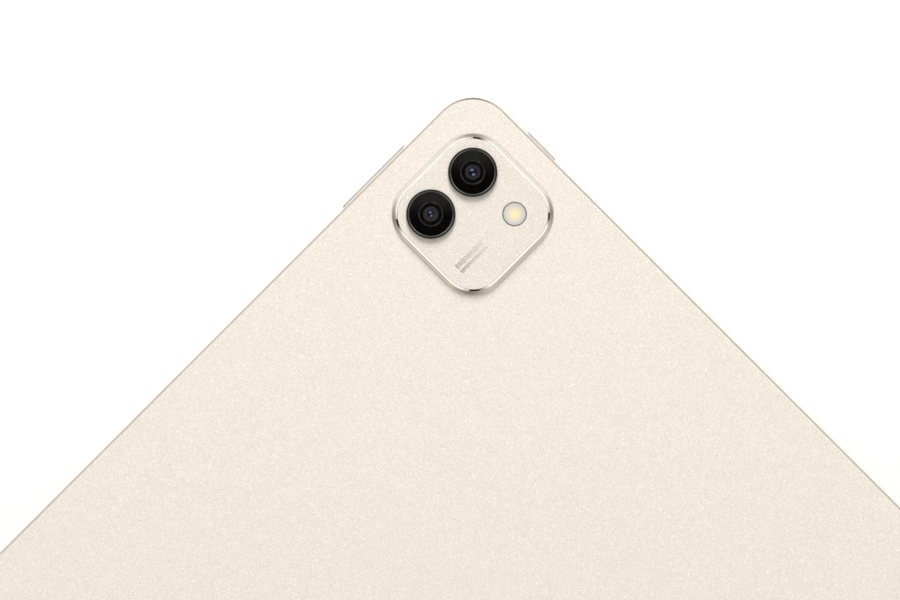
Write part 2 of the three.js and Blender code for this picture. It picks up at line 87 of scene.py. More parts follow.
body_low, body_high = box_mm("rear_housing")
LENGTH = body_high.x - body_low.x
WIDTH = body_high.y - body_low.y
BACK = body_high.z
CORNER = 10.9
RING = 1.45  # width of the polished ring round the plateau
deck_low, deck_high = box_mm("camera_deck")
BUMP = (deck_low + deck_high) / 2
BUMP_SIDE = deck_high.x - deck_low.x + 2 * RING
BUMP_CORNER = 9.3
DECK_TOP = deck_high.z
print(f"body {LENGTH:.1f} x {WIDTH:.1f} x {BACK:.1f} mm")
print(f"plateau {BUMP_SIDE:.1f} mm square at {BUMP.x:.1f}, {BUMP.y:.1f}")


def centre_of(node):
    """Middle of a part, in millimetres."""
    low, high = box_mm(node)
    return (low + high) / 2


MAIN = centre_of("main_lens_ring")
SECOND = centre_of("second_lens_ring")
FLASH = centre_of("flash_diffuser")
print("main lens", [round(v, 1) for v in MAIN], "second lens", [round(v, 1) for v in SECOND])

# %% [markdown]
# ## Camera
# The tablet is seen square on, turned 45 degrees, with the camera corner at the top. A very long lens far
# away gives the nearly parallel view of a product shot, and still has a focal length for the other views.

# %% Place the camera
scene = bpy.context.scene
VIEW_WIDTH = 225.0
DISTANCE = 4000.0
SENSOR = 36
TARGET = Vector((86.5, 53.03, BACK))

camera_data = bpy.data.cameras.new("camera")
camera_data.sensor_width = SENSOR
camera_data.lens = SENSOR * DISTANCE / VIEW_WIDTH
camera_data.clip_start = 0.1
camera_data.clip_end = 50
camera = bpy.data.objects.new("camera", camera_data)
scene.collection.objects.link(camera)
scene.camera = camera
camera.location = (TARGET + Vector((0, 0, DISTANCE))) * MM
camera.rotation_euler = (0, 0, math.radians(-45))
print(f"lens {camera_data.lens:.0f} mm at {DISTANCE / 1000:.1f} m")

# %% [markdown]
# ## Helpers for node trees
# A node tree can be drawn by hand in the editor, but a script has to add each node and link. That gets
# long, so four small helpers keep each material to a few lines: one adds a node with its settings, one does
# a step of arithmetic, one moves a value from one range to another, and one mixes two colours.

# %% Make the node helpers
def add_node(tree, kind, links=None, values=None, **settings):
    """A node of that kind, with its settings, its plain socket values and its incoming links."""
    node = tree.nodes.new("ShaderNode" + kind)
    for name, value in settings.items():
        setattr(node, name, value)
    for socket, value in (values or {}).items():
        node.inputs[socket].default_value = value
    for socket, source in (links or {}).items():
        tree.links.new(source, node.inputs[socket])
    return node


def maths(tree, operation, *terms):
    """One step of arithmetic, on sockets or plain numbers."""
    node = tree.nodes.new("ShaderNodeMath")
    node.operation = operation
    for i, term in enumerate(terms):
        if isinstance(term, (int, float)):
            node.inputs[i].default_value = term
        else:
            tree.links.new(term, node.inputs[i])
    return node.outputs[0]


def stretch(tree, value, low, high, to_low=0.0, to_high=1.0):
    """A value moved from one range to another, and held inside it."""
    return add_node(
        tree, "MapRange", {"Value": value},
        {"From Min": low, "From Max": high, "To Min": to_low, "To Max": to_high},
    ).outputs["Result"]


def mix_colours(tree, factor, first, second):
    """A colour between two others. Each is a socket or four plain numbers."""
    node = add_node(tree, "Mix", {0: factor}, data_type="RGBA")
    for socket, colour in ((6, first), (7, second)):
        if isinstance(colour, tuple):
            node.inputs[socket].default_value = colour
        else:
            tree.links.new(colour, node.inputs[socket])
    return node.outputs[2]


print("node helpers ready")

# %% [markdown]
# ## Light
# Polished metal shows what stands round it. A product studio has four big white screens with gaps between
# them, and the gaps draw the short dark strokes on the plateau's rounded corners. The screens could be lit
# cards, but a painted world has no noise and each gap is just two angles. It is bright where the screens
# stand, dark in the gaps over the diagonals, and dim overhead, which keeps the lens glass black.
#
# The first step splits the direction of a ray into a bearing round the tablet and a height.

# %% Find the bearing and the height of a ray
world = bpy.data.worlds.new("studio")
scene.world = world
world.use_nodes = True
sky = world.node_tree
sky.nodes.clear()

direction = add_node(sky, "TexCoord").outputs["Generated"]
split = add_node(sky, "SeparateXYZ", {"Vector": direction})
bearing = maths(sky, "ARCTAN2", split.outputs["Y"], split.outputs["X"])
height = split.outputs["Z"]
print("directions split into bearing and height")

# %% [markdown]
# A gap has a hard side, where one screen ends sharply, and a soft side, where the next one fades in. On the
# ring that gives a dark stroke with one crisp end. Low down, near the floor, the gaps are wide and soft.

# %% Make the gaps between the screens
GAPS = [(44, 17), (-42, -67), (-141, -103), (143, 171)]  # degrees: hard side, soft side
PAST_GAP = 16  # degrees that the faint shade beyond a hard side reaches


def gap(hard, soft, depth):
    """Darkness of one gap between screens: deepest at its hard side, fading to its soft side."""
    hard, soft = math.radians(hard), math.radians(soft)
    fading = stretch(sky, bearing, hard, soft, depth, 0)
    beyond = maths(sky, "GREATER_THAN" if soft > hard else "LESS_THAN", bearing, hard)
    return maths(sky, "MULTIPLY", maths(sky, "MINIMUM", fading, 1.0), beyond)


def low_gap(hard):
    """The same gap near the floor: wide and soft on both sides."""
    away = maths(sky, "ABSOLUTE", maths(sky, "SUBTRACT", bearing, math.radians(hard)))
    return stretch(sky, away, math.radians(36), math.radians(4))


def darkest(values):
    """The largest of several darknesses."""
    result = values[0]
    for value in values[1:]:
        result = maths(sky, "MAXIMUM", result, value)
    return result


high_gaps = [gap(hard, soft, 1.7) for hard, soft in GAPS]
high_gaps += [gap(hard, hard + math.copysign(PAST_GAP, hard - soft), 0.45) for hard, soft in GAPS]
high_gaps = maths(sky, "MULTIPLY", darkest(high_gaps), stretch(sky, height, 0.98, 0.95))
low_gaps = darkest([low_gap(hard) for hard, soft in GAPS])
print(len(GAPS), "gaps between the screens")

# %% [markdown]
# The screens hang a little above the floor, so the room is darker low down, and darker still on the side
# away from the lamp. Overhead a dim patch fades towards the lamp. The darkest of the three wins, and shade
# is a little warm, as light is that has bounced off a cream tablet.

# %% Shade the low part of the room and the patch overhead
toward_key = maths(sky, "COSINE", maths(sky, "SUBTRACT", bearing, math.radians(45)))
dusk = stretch(sky, toward_key, -0.7, 0.7, 0.46, 0.20)
lit = maths(sky, "SUBTRACT", 1.0, maths(sky, "MULTIPLY", low_gaps, 0.60))
dusk = maths(sky, "SUBTRACT", 1.0, maths(sky, "MULTIPLY", maths(sky, "SUBTRACT", 1.0, dusk), lit))
near_floor = stretch(sky, height, 0.50, 0.30)
dusk = maths(sky, "MULTIPLY", dusk, near_floor)
weaker = maths(sky, "SUBTRACT", 1.0, maths(sky, "MULTIPLY", near_floor, 0.4))
high_gaps = maths(sky, "MULTIPLY", high_gaps, weaker)

from_zenith = maths(sky, "SQRT", maths(sky, "SUBTRACT", 1.0, maths(sky, "MULTIPLY", height, height)))
leaning = maths(sky, "MULTIPLY", toward_key, from_zenith)
patch_depth = stretch(sky, leaning, 0.0, 0.14, 0.985, 0.62)
overhead = maths(sky, "MULTIPLY", stretch(sky, height, 0.966, 0.982), patch_depth)
shade = darkest([high_gaps, dusk, overhead])
screens = maths(sky, "SUBTRACT", 1.0, maths(sky, "MULTIPLY", shade, 0.985))
warmth = mix_colours(sky, stretch(sky, shade, 0.0, 0.5), (1, 1, 1, 1), (1.0, 0.90, 0.76, 1))
print("shade of", len(sky.nodes), "nodes")

# %% [markdown]
# Reflections, soft light and the plain backdrop each need their own strength, as a photographer would set
# them one by one. A Light Path node tells which kind of ray is asking.

# %% Set the strength for each kind of ray
FOR_REFLECTIONS = 1.15
FOR_SOFT_LIGHT = 0.86
FOR_BACKDROP = 1.2
rays = add_node(sky, "LightPath")
glossy = maths(sky, "MULTIPLY", screens, FOR_REFLECTIONS)
diffuse = maths(sky, "MULTIPLY", screens, FOR_SOFT_LIGHT)
share = add_node(sky, "Mix", {0: rays.outputs["Is Diffuse Ray"], 2: glossy, 3: diffuse}).outputs[0]
backdrop = maths(sky, "MULTIPLY", rays.outputs["Is Camera Ray"], FOR_BACKDROP)
strength = maths(sky, "MAXIMUM", share, backdrop)
background = add_node(sky, "Background", {"Strength": strength, "Color": warmth})
add_node(sky, "OutputWorld", {"Surface": background.outputs[0]})
print(len(sky.nodes), "nodes in the studio")

# %% [markdown]
# One large round lamp stands low beyond the camera corner and gives the soft shadows under the lens rings
# and the plateau. It is kept out of reflections, because the painted screens already fill them.

# %% Hang the lamp
KEY_BEARING = math.radians(45)
KEY_HEIGHT = math.radians(23)
KEY_DISTANCE = 1.7
LAMP_ACROSS = 0.7
LAMP_WATTS = 46

lamp_data = bpy.data.lights.new("key_light", "AREA")
lamp_data.shape = "DISK"
lamp_data.size = LAMP_ACROSS
lamp_data.energy = LAMP_WATTS
lamp = bpy.data.objects.new("key_light", lamp_data)
scene.collection.objects.link(lamp)
aim = Vector((
    math.cos(KEY_HEIGHT) * math.cos(KEY_BEARING),
    math.cos(KEY_HEIGHT) * math.sin(KEY_BEARING),
    math.sin(KEY_HEIGHT),
))
lamp.location = TARGET * MM + aim * KEY_DISTANCE
lamp.rotation_euler = aim.to_track_quat("Z", "Y").to_euler()
lamp.visible_camera = False
lamp.visible_glossy = False
lamp.visible_transmission = False
print("lamp at", [round(v, 2) for v in lamp.location], "m")

# %% [markdown]
# The floor is a sheet of pale paper, much larger than the view. Its lower face is see-through, so that the
# display can be looked at from below. It lies a fiftieth of a millimetre under the glass, because two faces
# in the same plane would flicker.

# %% Lay the floor
FLOOR_DROP = 0.02
FLOOR_HALF = 15
floor_mesh = bpy.data.meshes.new("floor")
floor_bm = bmesh.new()
bmesh.ops.create_grid(floor_bm, x_segments=1, y_segments=1, size=FLOOR_HALF)
bmesh.ops.translate(floor_bm, vec=(0, 0, -FLOOR_DROP * MM), verts=floor_bm.verts)
floor_bm.to_mesh(floor_mesh)
floor_bm.free()
floor = bpy.data.objects.new("floor", floor_mesh)
scene.collection.objects.link(floor)

floor_material = bpy.data.materials.new("floor_paper")
floor_material.use_nodes = True
paper = floor_material.node_tree
paper.nodes.clear()
grain = add_node(paper, "TexNoise", {"Vector": add_node(paper, "TexCoord").outputs["Object"]}, {"Scale": 40})
tone = stretch(paper, grain.outputs["Fac"], 0.3, 0.7, 0.90, 0.92)
paper_face = add_node(paper, "BsdfPrincipled", {"Base Color": tone}, {"Roughness": 0.95})
clear = add_node(paper, "BsdfTransparent")
from_below = add_node(paper, "NewGeometry").outputs["Backfacing"]
sides = add_node(paper, "MixShader", {0: from_below, 1: paper_face.outputs[0], 2: clear.outputs[0]})
add_node(paper, "OutputMaterial", {"Surface": sides.outputs[0]})
floor_mesh.materials.append(floor_material)
scene.view_settings.view_transform = "Standard"
print("floor", 2 * FLOOR_HALF, "m across")

# %% [markdown]
# ## Shared textures
# Small effects return on many parts: pearl flakes in the paint, a fine grain that makes a surface less
# perfect, and printed tracks on the boards. Each is one node group, placed in a material with its own
# values. All of them read the part's own Object coordinates, so nothing slides when the camera moves.

# %% Make the group helper
def new_group(name, inputs, outputs):
    """A node group with number or colour sockets. Returns the tree, its input node and its output node."""
    kinds = {float: "NodeSocketFloat", tuple: "NodeSocketColor"}
    tree = bpy.data.node_groups.new(name, "ShaderNodeTree")
    for title, value in inputs.items():
        socket = tree.interface.new_socket(title, in_out="INPUT", socket_type=kinds[type(value)])
        socket.default_value = value
    for title, kind in outputs.items():
        tree.interface.new_socket(title, in_out="OUTPUT", socket_type="NodeSocket" + kind)
    return tree, tree.nodes.new("NodeGroupInput"), tree.nodes.new("NodeGroupOutput")


def use_group(tree, group, **values):
    """A group placed in a material, with its values. Underscores stand for spaces."""
    node = tree.nodes.new("ShaderNodeGroup")
    node.node_tree = group
    for title, value in values.items():
        node.inputs[title.replace("_", " ")].default_value = value
    return node


print("group helper ready")

# %% [markdown]
# Pearl paint holds flat flakes about a tenth of a millimetre across. Most lie level and only shift the tone
# a little, and a few larger ones catch the light. A noise could make the grain, but it has no edges, so
# Voronoi cells make the flakes: each cell has one random tone. A second, coarser set of cells picks one in
# twelve or so and colours it near white, a painted glint for a flake that catches the light, and a soft
# noise adds the cloudiness between them.

# %% Build the pearl group
pearl, given, out = new_group(
    "pearl_flakes_painted_glints",
    {"Base": (0.80, 0.74, 0.66, 1.0), "Flake Size": 0.35, "Depth": 0.10, "Sparkle": 0.5},
    {"Color": "Color", "Roughness": "Float", "Height": "Float"},
)
spot = add_node(pearl, "TexCoord").outputs["Object"]
per_metre = maths(pearl, "DIVIDE", 1 / MM, given.outputs["Flake Size"])
flakes = add_node(pearl, "TexVoronoi", {"Vector": spot, "Scale": per_metre}, feature="F1")
lot = add_node(pearl, "SeparateColor", {"Color": flakes.outputs["Color"]})
clouds = add_node(pearl, "TexNoise", {"Vector": spot}, {"Scale": 260, "Detail": 3, "Roughness": 0.6})
tone = maths(pearl, "ADD", lot.outputs["Red"], maths(pearl, "MULTIPLY", clouds.outputs["Fac"], 0.12))
tone = maths(pearl, "SUBTRACT", tone, 0.56)
factor = maths(pearl, "ADD", 1.0, maths(pearl, "MULTIPLY", tone, given.outputs["Depth"]))
tinted = add_node(pearl, "VectorMath", {0: given.outputs["Base"], "Scale": factor}, operation="SCALE")
sparse = maths(pearl, "MULTIPLY", per_metre, 0.48)
glints = add_node(pearl, "TexVoronoi", {"Vector": spot, "Scale": sparse}, feature="F1")
chosen = add_node(pearl, "SeparateColor", {"Color": glints.outputs["Color"]})
# Painted glints: the chosen cells are mixed towards near white in the colour itself.
painted_glint = stretch(pearl, chosen.outputs["Green"], 0.91, 0.93)
middle = stretch(pearl, glints.outputs["Distance"], 0.60, 0.45)
painted_glint = maths(pearl, "MULTIPLY", maths(pearl, "MULTIPLY", painted_glint, middle), given.outputs["Sparkle"])
tone_with_painted_glints = mix_colours(pearl, painted_glint, tinted.outputs[0], (1.0, 1.0, 0.97, 1.0))
rough = maths(pearl, "SUBTRACT", 0.46, maths(pearl, "MULTIPLY", lot.outputs["Blue"], 0.12))
pearl.links.new(tone_with_painted_glints, out.inputs["Color"])
pearl.links.new(rough, out.inputs["Roughness"])
pearl.links.new(lot.outputs["Red"], out.inputs["Height"])
print(len(pearl.nodes), "nodes in the pearl group")

# %% [markdown]
# No surface is perfectly even. A fine grain gives plastic its moulded look and polished metal its faint
# haze: one noise for the roughness between two limits, and a finer one for the height of the bumps.

# %% Build the grain group
grain_group, given, out = new_group(
    "fine_grain",
    {"Scale": 3000.0, "Smoothest": 0.3, "Roughest": 0.5},
    {"Roughness": "Float", "Height": "Float", "Mask": "Float"},
)
spot = add_node(grain_group, "TexCoord").outputs["Object"]
coarse = maths(grain_group, "MULTIPLY", given.outputs["Scale"], 0.12)
patches = add_node(grain_group, "TexNoise", {"Vector": spot, "Scale": coarse}, {"Detail": 3})
specks = add_node(grain_group, "TexNoise", {"Vector": spot, "Scale": given.outputs["Scale"]}, {"Detail": 2})
both = maths(grain_group, "ADD", maths(grain_group, "MULTIPLY", patches.outputs["Fac"], 0.6),
             maths(grain_group, "MULTIPLY", specks.outputs["Fac"], 0.4))
evened = stretch(grain_group, both, 0.35, 0.65)
span = maths(grain_group, "SUBTRACT", given.outputs["Roughest"], given.outputs["Smoothest"])
rough = maths(grain_group, "ADD", given.outputs["Smoothest"], maths(grain_group, "MULTIPLY", evened, span))
grain_group.links.new(rough, out.inputs["Roughness"])
grain_group.links.new(specks.outputs["Fac"], out.inputs["Height"])
grain_group.links.new(stretch(grain_group, patches.outputs["Fac"], 0.35, 0.65), out.inputs["Mask"])
print(len(grain_group.nodes), "nodes in the grain group")

# %% [markdown]
# A circuit board is green lacquer over copper tracks, with gold-plated pads. The squares in the middle of
# Chebychev cells make the pads, and a diagonal wave makes the tracks. A slow noise decides which of the two
# lies where, so they don't run into each other.

# %% Build the board group
board_group, given, out = new_group(
    "printed_tracks", {"Pitch": 1.0}, {"Tracks": "Float", "Pads": "Float"}
)
spot = add_node(board_group, "TexCoord").outputs["Object"]
per_metre = maths(board_group, "DIVIDE", 1 / MM, given.outputs["Pitch"])
pads = add_node(board_group, "TexVoronoi", {"Vector": spot, "Scale": per_metre}, {"Randomness": 0.4},
                distance="CHEBYCHEV")
slow = maths(board_group, "MULTIPLY", per_metre, 0.14)
where = add_node(board_group, "TexNoise", {"Vector": spot, "Scale": slow}, {"Detail": 1})
close = maths(board_group, "MULTIPLY", per_metre, 0.6)
lines = add_node(board_group, "TexWave", {"Vector": spot, "Scale": close}, {"Distortion": 1.5, "Detail": 0},
                 bands_direction="DIAGONAL")
tracks = maths(board_group, "MULTIPLY", maths(board_group, "GREATER_THAN", lines.outputs["Fac"], 0.72),
               maths(board_group, "GREATER_THAN", where.outputs["Fac"], 0.48))
pad = maths(board_group, "MULTIPLY", maths(board_group, "LESS_THAN", pads.outputs["Distance"], 0.20),
            maths(board_group, "LESS_THAN", where.outputs["Fac"], 0.46))
board_group.links.new(tracks, out.inputs["Tracks"])
board_group.links.new(pad, out.inputs["Pads"])
print(len(board_group.nodes), "nodes in the board group")

# %% [markdown]
# ## Finishes
# Each finish is a short function that ends in one Principled shader. Numbers that are the same all over
# sit on the shader itself, and only what changes over the surface comes through nodes.

# %% Make the material helpers
def new_finish(name, **plain):
    """A material with one Principled shader. Plain values go straight on its sockets."""
    material = bpy.data.materials.new(name)
    material.use_nodes = True
    tree = material.node_tree
    tree.nodes.clear()
    shader = add_node(tree, "BsdfPrincipled")
    add_node(tree, "OutputMaterial", {"Surface": shader.outputs[0]})
    for title, value in plain.items():
        shader.inputs[title.replace("_", " ")].default_value = value
    return material, tree, shader


def bump(tree, shader, height, strength, depth_mm):
    """Small height differences, turned into a bent normal."""
    node = add_node(tree, "Bump", {"Height": height}, {"Strength": strength, "Distance": depth_mm * MM})
    tree.links.new(node.outputs[0], shader.inputs["Normal"])


def grained(name, colour, smooth, coarse, scale=3000.0, depth=0.01, vary=0.06, **plain):
    """Plastic or metal with a fine grain: its tone, its roughness and its bumps all follow it."""
    material, tree, shader = new_finish(name, **plain)
    group = use_group(tree, grain_group, Scale=scale, Smoothest=smooth, Roughest=coarse)
    darker = tuple(c * (1 - vary) for c in colour[:3]) + (1.0,)
    tone = mix_colours(tree, group.outputs["Mask"], darker, (*colour[:3], 1.0))
    tree.links.new(tone, shader.inputs["Base Color"])
    tree.links.new(group.outputs["Roughness"], shader.inputs["Roughness"])
    if depth:
        bump(tree, shader, group.outputs["Height"], 0.3, depth)
    return material


print("material helpers ready")

# %% [markdown]
# The back and the deck share one pearl paint, a shade darker on the deck. The ring is polished, the edges
# are satin, and the keys' faces are blasted, which scatters light almost as paint does. Each metal or
# plastic differs only in its colour and in how smooth it is, so one function makes them all.

# %% Mix the pearl paint
def pearl_finish(name, base, depth, painted_glint_strength):
    material, tree, shader = new_finish(name, Metallic=0.12, Coat_Weight=0.12, Coat_Roughness=0.25)
    group = use_group(tree, pearl, Base=base, Flake_Size=0.11, Depth=depth, Sparkle=painted_glint_strength)
    tree.links.new(group.outputs["Color"], shader.inputs["Base Color"])
    tree.links.new(group.outputs["Roughness"], shader.inputs["Roughness"])
    bump(tree, shader, group.outputs["Height"], 0.08, 0.01)
    return material


cream_pearl = pearl_finish("cream_pearl", (0.826, 0.766, 0.690, 1), 0.32, 1.0)
deck_pearl = pearl_finish("deck_pearl", (0.787, 0.727, 0.651, 1), 0.32, 1.0)
print("paints:", cream_pearl.name, deck_pearl.name)

# %% Mix the metals and the plastics outside
polished_rim = grained("polished_rim", (0.93, 0.895, 0.84), 0.02, 0.06, 1200, 0, 0.03, Metallic=1.0)
satin_metal = grained("satin_metal", (0.86, 0.81, 0.74), 0.14, 0.22, 2500, 0.002, 0.05, Metallic=1.0)
# The groove's dark brown is painted shade, for a groove cut in the housing's own metal.
groove_painted_shade = grained("groove_painted_shade", (0.30, 0.26, 0.215), 0.5, 0.7, 2500, 0.004, 0.1)
key_metal = grained("key_metal", (0.80, 0.745, 0.665), 0.38, 0.46, 2500, 0.002, 0.05, Metallic=0.35)
# The chamfer's darker metal is painted shade: it stands for the shaded room that the chamfer mirrors.
key_chamfer_painted_shade = grained("key_chamfer_painted_shade", (0.40, 0.37, 0.33), 0.18, 0.26, 2500, 0.002, 0.05, Metallic=1.0)
black_anodised = grained("black_anodised", (0.010, 0.010, 0.011), 0.30, 0.42, 4000, 0.004, 0.2, Metallic=0.3)
silver_line = grained("silver_line", (0.62, 0.64, 0.66), 0.10, 0.2, 2000, 0, 0.1, Metallic=1.0)
lens_black = grained("lens_black", (0.002, 0.002, 0.002), 0.40, 0.6, 5000, 0.003, 0.2,
                     Specular_IOR_Level=0.06)
baffle_black = grained("baffle_black", (0.0012, 0.0012, 0.0012), 0.07, 0.10, 5000, 0, 0.2)
barrel_plastic = grained("barrel_plastic", (0.070, 0.070, 0.072), 0.22, 0.3, 5000, 0, 0.2)
stop_plastic = grained("stop_plastic", (0.056, 0.056, 0.058), 0.45, 0.6, 5000, 0.004, 0.15,
                       Specular_IOR_Level=0.1)
black_plastic = grained("black_plastic", (0.014, 0.014, 0.015), 0.40, 0.6, 2500, 0.01, 0.2)
band_plastic = grained("band_plastic", (0.74, 0.68, 0.59), 0.40, 0.55, 2500, 0.006, 0.04)
print(len(bpy.data.materials), "materials so far")

# %% Mix the metals, foils and films inside
shell_steel = grained("shell_steel", (0.55, 0.55, 0.55), 0.18, 0.32, 1800, 0.003, 0.12, Metallic=1.0)
can_steel = grained("can_steel", (0.62, 0.62, 0.61), 0.28, 0.42, 900, 0.006, 0.10, Metallic=1.0)
contact_gold = grained("contact_gold", (0.83, 0.60, 0.24), 0.16, 0.28, 3000, 0, 0.1, Metallic=1.0)
cell_foil = grained("cell_foil", (0.05, 0.05, 0.055), 0.34, 0.5, 500, 0.03, 0.25, Metallic=0.5)
graphite = grained("graphite", (0.045, 0.046, 0.05), 0.40, 0.6, 700, 0.01, 0.3, Metallic=0.3)
cable_film = grained("cable_film", (0.24, 0.10, 0.03), 0.30, 0.45, 800, 0.008, 0.2)
light_film = grained("light_film", (0.78, 0.79, 0.82), 0.30, 0.45, 600, 0.004, 0.03)
phosphor = grained("phosphor", (0.90, 0.72, 0.22), 0.5, 0.7, 4000, 0.01, 0.15)
print(len(bpy.data.materials), "materials so far")

# %% [markdown]
# The boards, the dust mesh and the ink each have a pattern of their own. The mesh behind the sound holes is
# woven wire: cells without randomness make a square grid, dark in the middle of each cell and lighter on
# the wires. The ink is dark grey where the row begins and is coloured lighter along the row, up to the tone
# of the deck: a painted reflection on the ink.

# %% Mix the circuit board
circuit_board, tree, shader = new_finish("circuit_board", Coat_Weight=0.3, Coat_Roughness=0.2)
copper = use_group(tree, board_group, Pitch=1.1)
tone = mix_colours(tree, copper.outputs["Tracks"], (0.008, 0.05, 0.025, 1), (0.02, 0.11, 0.05, 1))
tone = mix_colours(tree, copper.outputs["Pads"], tone, (0.75, 0.62, 0.35, 1))
tree.links.new(tone, shader.inputs["Base Color"])
tree.links.new(copper.outputs["Pads"], shader.inputs["Metallic"])
tree.links.new(stretch(tree, copper.outputs["Pads"], 0, 1, 0.45, 0.25), shader.inputs["Roughness"])
bump(tree, shader, maths(tree, "ADD", copper.outputs["Tracks"], copper.outputs["Pads"]), 0.3, 0.03)
print(circuit_board.name, "has", len(tree.nodes), "nodes")

# %% Mix the dust mesh and the printing ink
WIRE_PITCH = 0.22
dust_mesh, tree, shader = new_finish("dust_mesh", Metallic=0.6)
weave = add_node(tree, "TexVoronoi", {"Vector": add_node(tree, "TexCoord").outputs["Object"]},
                 {"Scale": 1 / (WIRE_PITCH * MM), "Randomness": 0.0}, distance="CHEBYCHEV")
wire = stretch(tree, weave.outputs["Distance"], 0.28, 0.36)
tone = mix_colours(tree, wire, (0.002, 0.002, 0.002, 1), (0.06, 0.06, 0.062, 1))
tree.links.new(tone, shader.inputs["Base Color"])
tree.links.new(stretch(tree, wire, 0, 1, 0.8, 0.35), shader.inputs["Roughness"])
bump(tree, shader, wire, 0.6, 0.03)

# The ink's colour lightens between these two places along the row: a painted reflection.
PAINTED_REFLECTION_FROM, PAINTED_REFLECTION_TO = 93.3, 102.9
ink_with_painted_reflection, tree, shader = new_finish("ink_with_painted_reflection", Specular_IOR_Level=0.3)
along = add_node(tree, "SeparateXYZ", {"Vector": add_node(tree, "TexCoord").outputs["Object"]}).outputs["X"]
painted_reflection_fade = stretch(tree, along, PAINTED_REFLECTION_FROM * MM, PAINTED_REFLECTION_TO * MM)
tone = mix_colours(tree, painted_reflection_fade, (0.13, 0.125, 0.12, 1), (0.60, 0.54, 0.47, 1))
tree.links.new(tone, shader.inputs["Base Color"])
specks = use_group(tree, grain_group, Scale=5000.0, Smoothest=0.35, Roughest=0.5)
tree.links.new(specks.outputs["Roughness"], shader.inputs["Roughness"])
print(ink_with_painted_reflection.name, "fades over", round(PAINTED_REFLECTION_TO - PAINTED_REFLECTION_FROM, 1), "mm")

# %% [markdown]
# The window over each camera is clear glass with a coating against glare. A low index of refraction is the
# plain way to get that: it weakens the mirror image and leaves the black cone behind it deep.

# %% Mix the window glass
window_glass, tree, shader = new_finish(
    "window_glass", IOR=1.22, Transmission_Weight=1.0, Base_Color=(1, 1, 1, 1)
)
group = use_group(tree, grain_group, Scale=900.0, Smoothest=0.0, Roughest=0.02)
tree.links.new(group.outputs["Roughness"], shader.inputs["Roughness"])
print(window_glass.name, "is clear")

# %% [markdown]
# The front element's coating throws back violet-blue light in two lobes, either side of the middle. Thin
# film could be worked out from the light's wavelength, but the lobes are only a few tenths of a millimetre
# across, so they are painted: a cosine of the bearing makes two lobes, and two ramps keep them in a ring.

# %% Make the lens with its painted reflection
LOBE_BEARING = 1.13  # radians


def lens_with_painted_reflection(name, centre, reach):
    """A curved front element, black, with two violet-blue lobes of painted reflection."""
    material, tree, shader = new_finish(name, Roughness=0.04, Specular_IOR_Level=0.2)
    own = add_node(tree, "TexCoord").outputs["Object"]
    moved = add_node(
        tree, "Mapping", {"Vector": own},
        {"Location": (-centre.x * MM, -centre.y * MM, 0), "Scale": (1, 1, 0)},
    ).outputs[0]
    parts = add_node(tree, "SeparateXYZ", {"Vector": moved})
    radius = add_node(tree, "VectorMath", {0: moved}, operation="LENGTH").outputs["Value"]
    turn = maths(tree, "ARCTAN2", parts.outputs["Y"], parts.outputs["X"])
    twice = maths(tree, "SUBTRACT", maths(tree, "MULTIPLY", turn, 2.0), 2 * LOBE_BEARING)
    lobes = stretch(tree, maths(tree, "COSINE", twice), 0.1, 0.95)
    inner = stretch(tree, radius, 0.15 * reach * MM, 0.5 * reach * MM)
    outer = stretch(tree, radius, 0.95 * reach * MM, 0.7 * reach * MM)
    ring = maths(tree, "MULTIPLY", inner, outer)
    # The lobes are a painted reflection, mixed into the base colour.
    painted_lobe_mask = maths(tree, "MULTIPLY", lobes, ring)
    tone = mix_colours(tree, painted_lobe_mask, (0.004, 0.004, 0.012, 1), (0.40, 0.42, 0.95, 1))
    tree.links.new(tone, shader.inputs["Base Color"])
    return material


print("lobes at", round(math.degrees(LOBE_BEARING)), "degrees")

# %% [markdown]
# The flash lens is milky plastic with fine rings, over a yellow phosphor. A gradient from the lens's own
# middle sets the colour, and a ring wave sets the bumps.

# %% Mix the flash lens
flash_lens, tree, shader = new_finish("flash_lens", Coat_Weight=0.6, Coat_Roughness=0.08, Roughness=0.35)
own = add_node(tree, "TexCoord").outputs["Object"]
moved = add_node(
    tree, "Mapping", {"Vector": own}, {"Location": (-FLASH.x * MM, -FLASH.y * MM, 0)}
).outputs[0]
parts = add_node(tree, "SeparateXYZ", {"Vector": moved})
flat = add_node(tree, "CombineXYZ", {"X": parts.outputs["X"], "Y": parts.outputs["Y"]}).outputs[0]
blur = add_node(tree, "TexNoise", {"Vector": flat}, {"Scale": 900, "Detail": 2})
radius = add_node(tree, "VectorMath", {0: flat}, operation="LENGTH").outputs["Value"]
wobble = maths(tree, "MULTIPLY", maths(tree, "SUBTRACT", blur.outputs["Fac"], 0.5), 0.3 * MM)
radius = maths(tree, "ADD", radius, wobble)
FLASH_REACH = 3.1
FLASH_TONES = [  # radius in millimetres, colour
    (0.3, (0.88, 0.79, 0.40)), (0.8, (0.855, 0.75, 0.46)), (1.2, (0.80, 0.72, 0.51)),
    (1.6, (0.72, 0.665, 0.53)), (2.0, (0.64, 0.614, 0.54)), (2.6, (0.555, 0.54, 0.528)),
    (2.74, (0.50, 0.49, 0.48)), (2.80, (0.20, 0.195, 0.19)),
]
ramp = add_node(tree, "ValToRGB", {"Fac": maths(tree, "DIVIDE", radius, FLASH_REACH * MM)})
stops = ramp.color_ramp.elements
while len(stops) < len(FLASH_TONES):
    stops.new(0.5)
for stop, (reach, colour) in zip(stops, FLASH_TONES):
    stop.position = reach / FLASH_REACH
    stop.color = (*colour, 1)
tree.links.new(ramp.outputs["Color"], shader.inputs["Base Color"])
rings = add_node(
    tree, "TexWave", {"Vector": flat}, {"Scale": 1600, "Distortion": 0.0},
    wave_type="RINGS", rings_direction="Z",
)
bump(tree, shader, rings.outputs["Fac"], 0.25, 0.02)
print(len(FLASH_TONES), "tones from the middle of the flash to its edge")

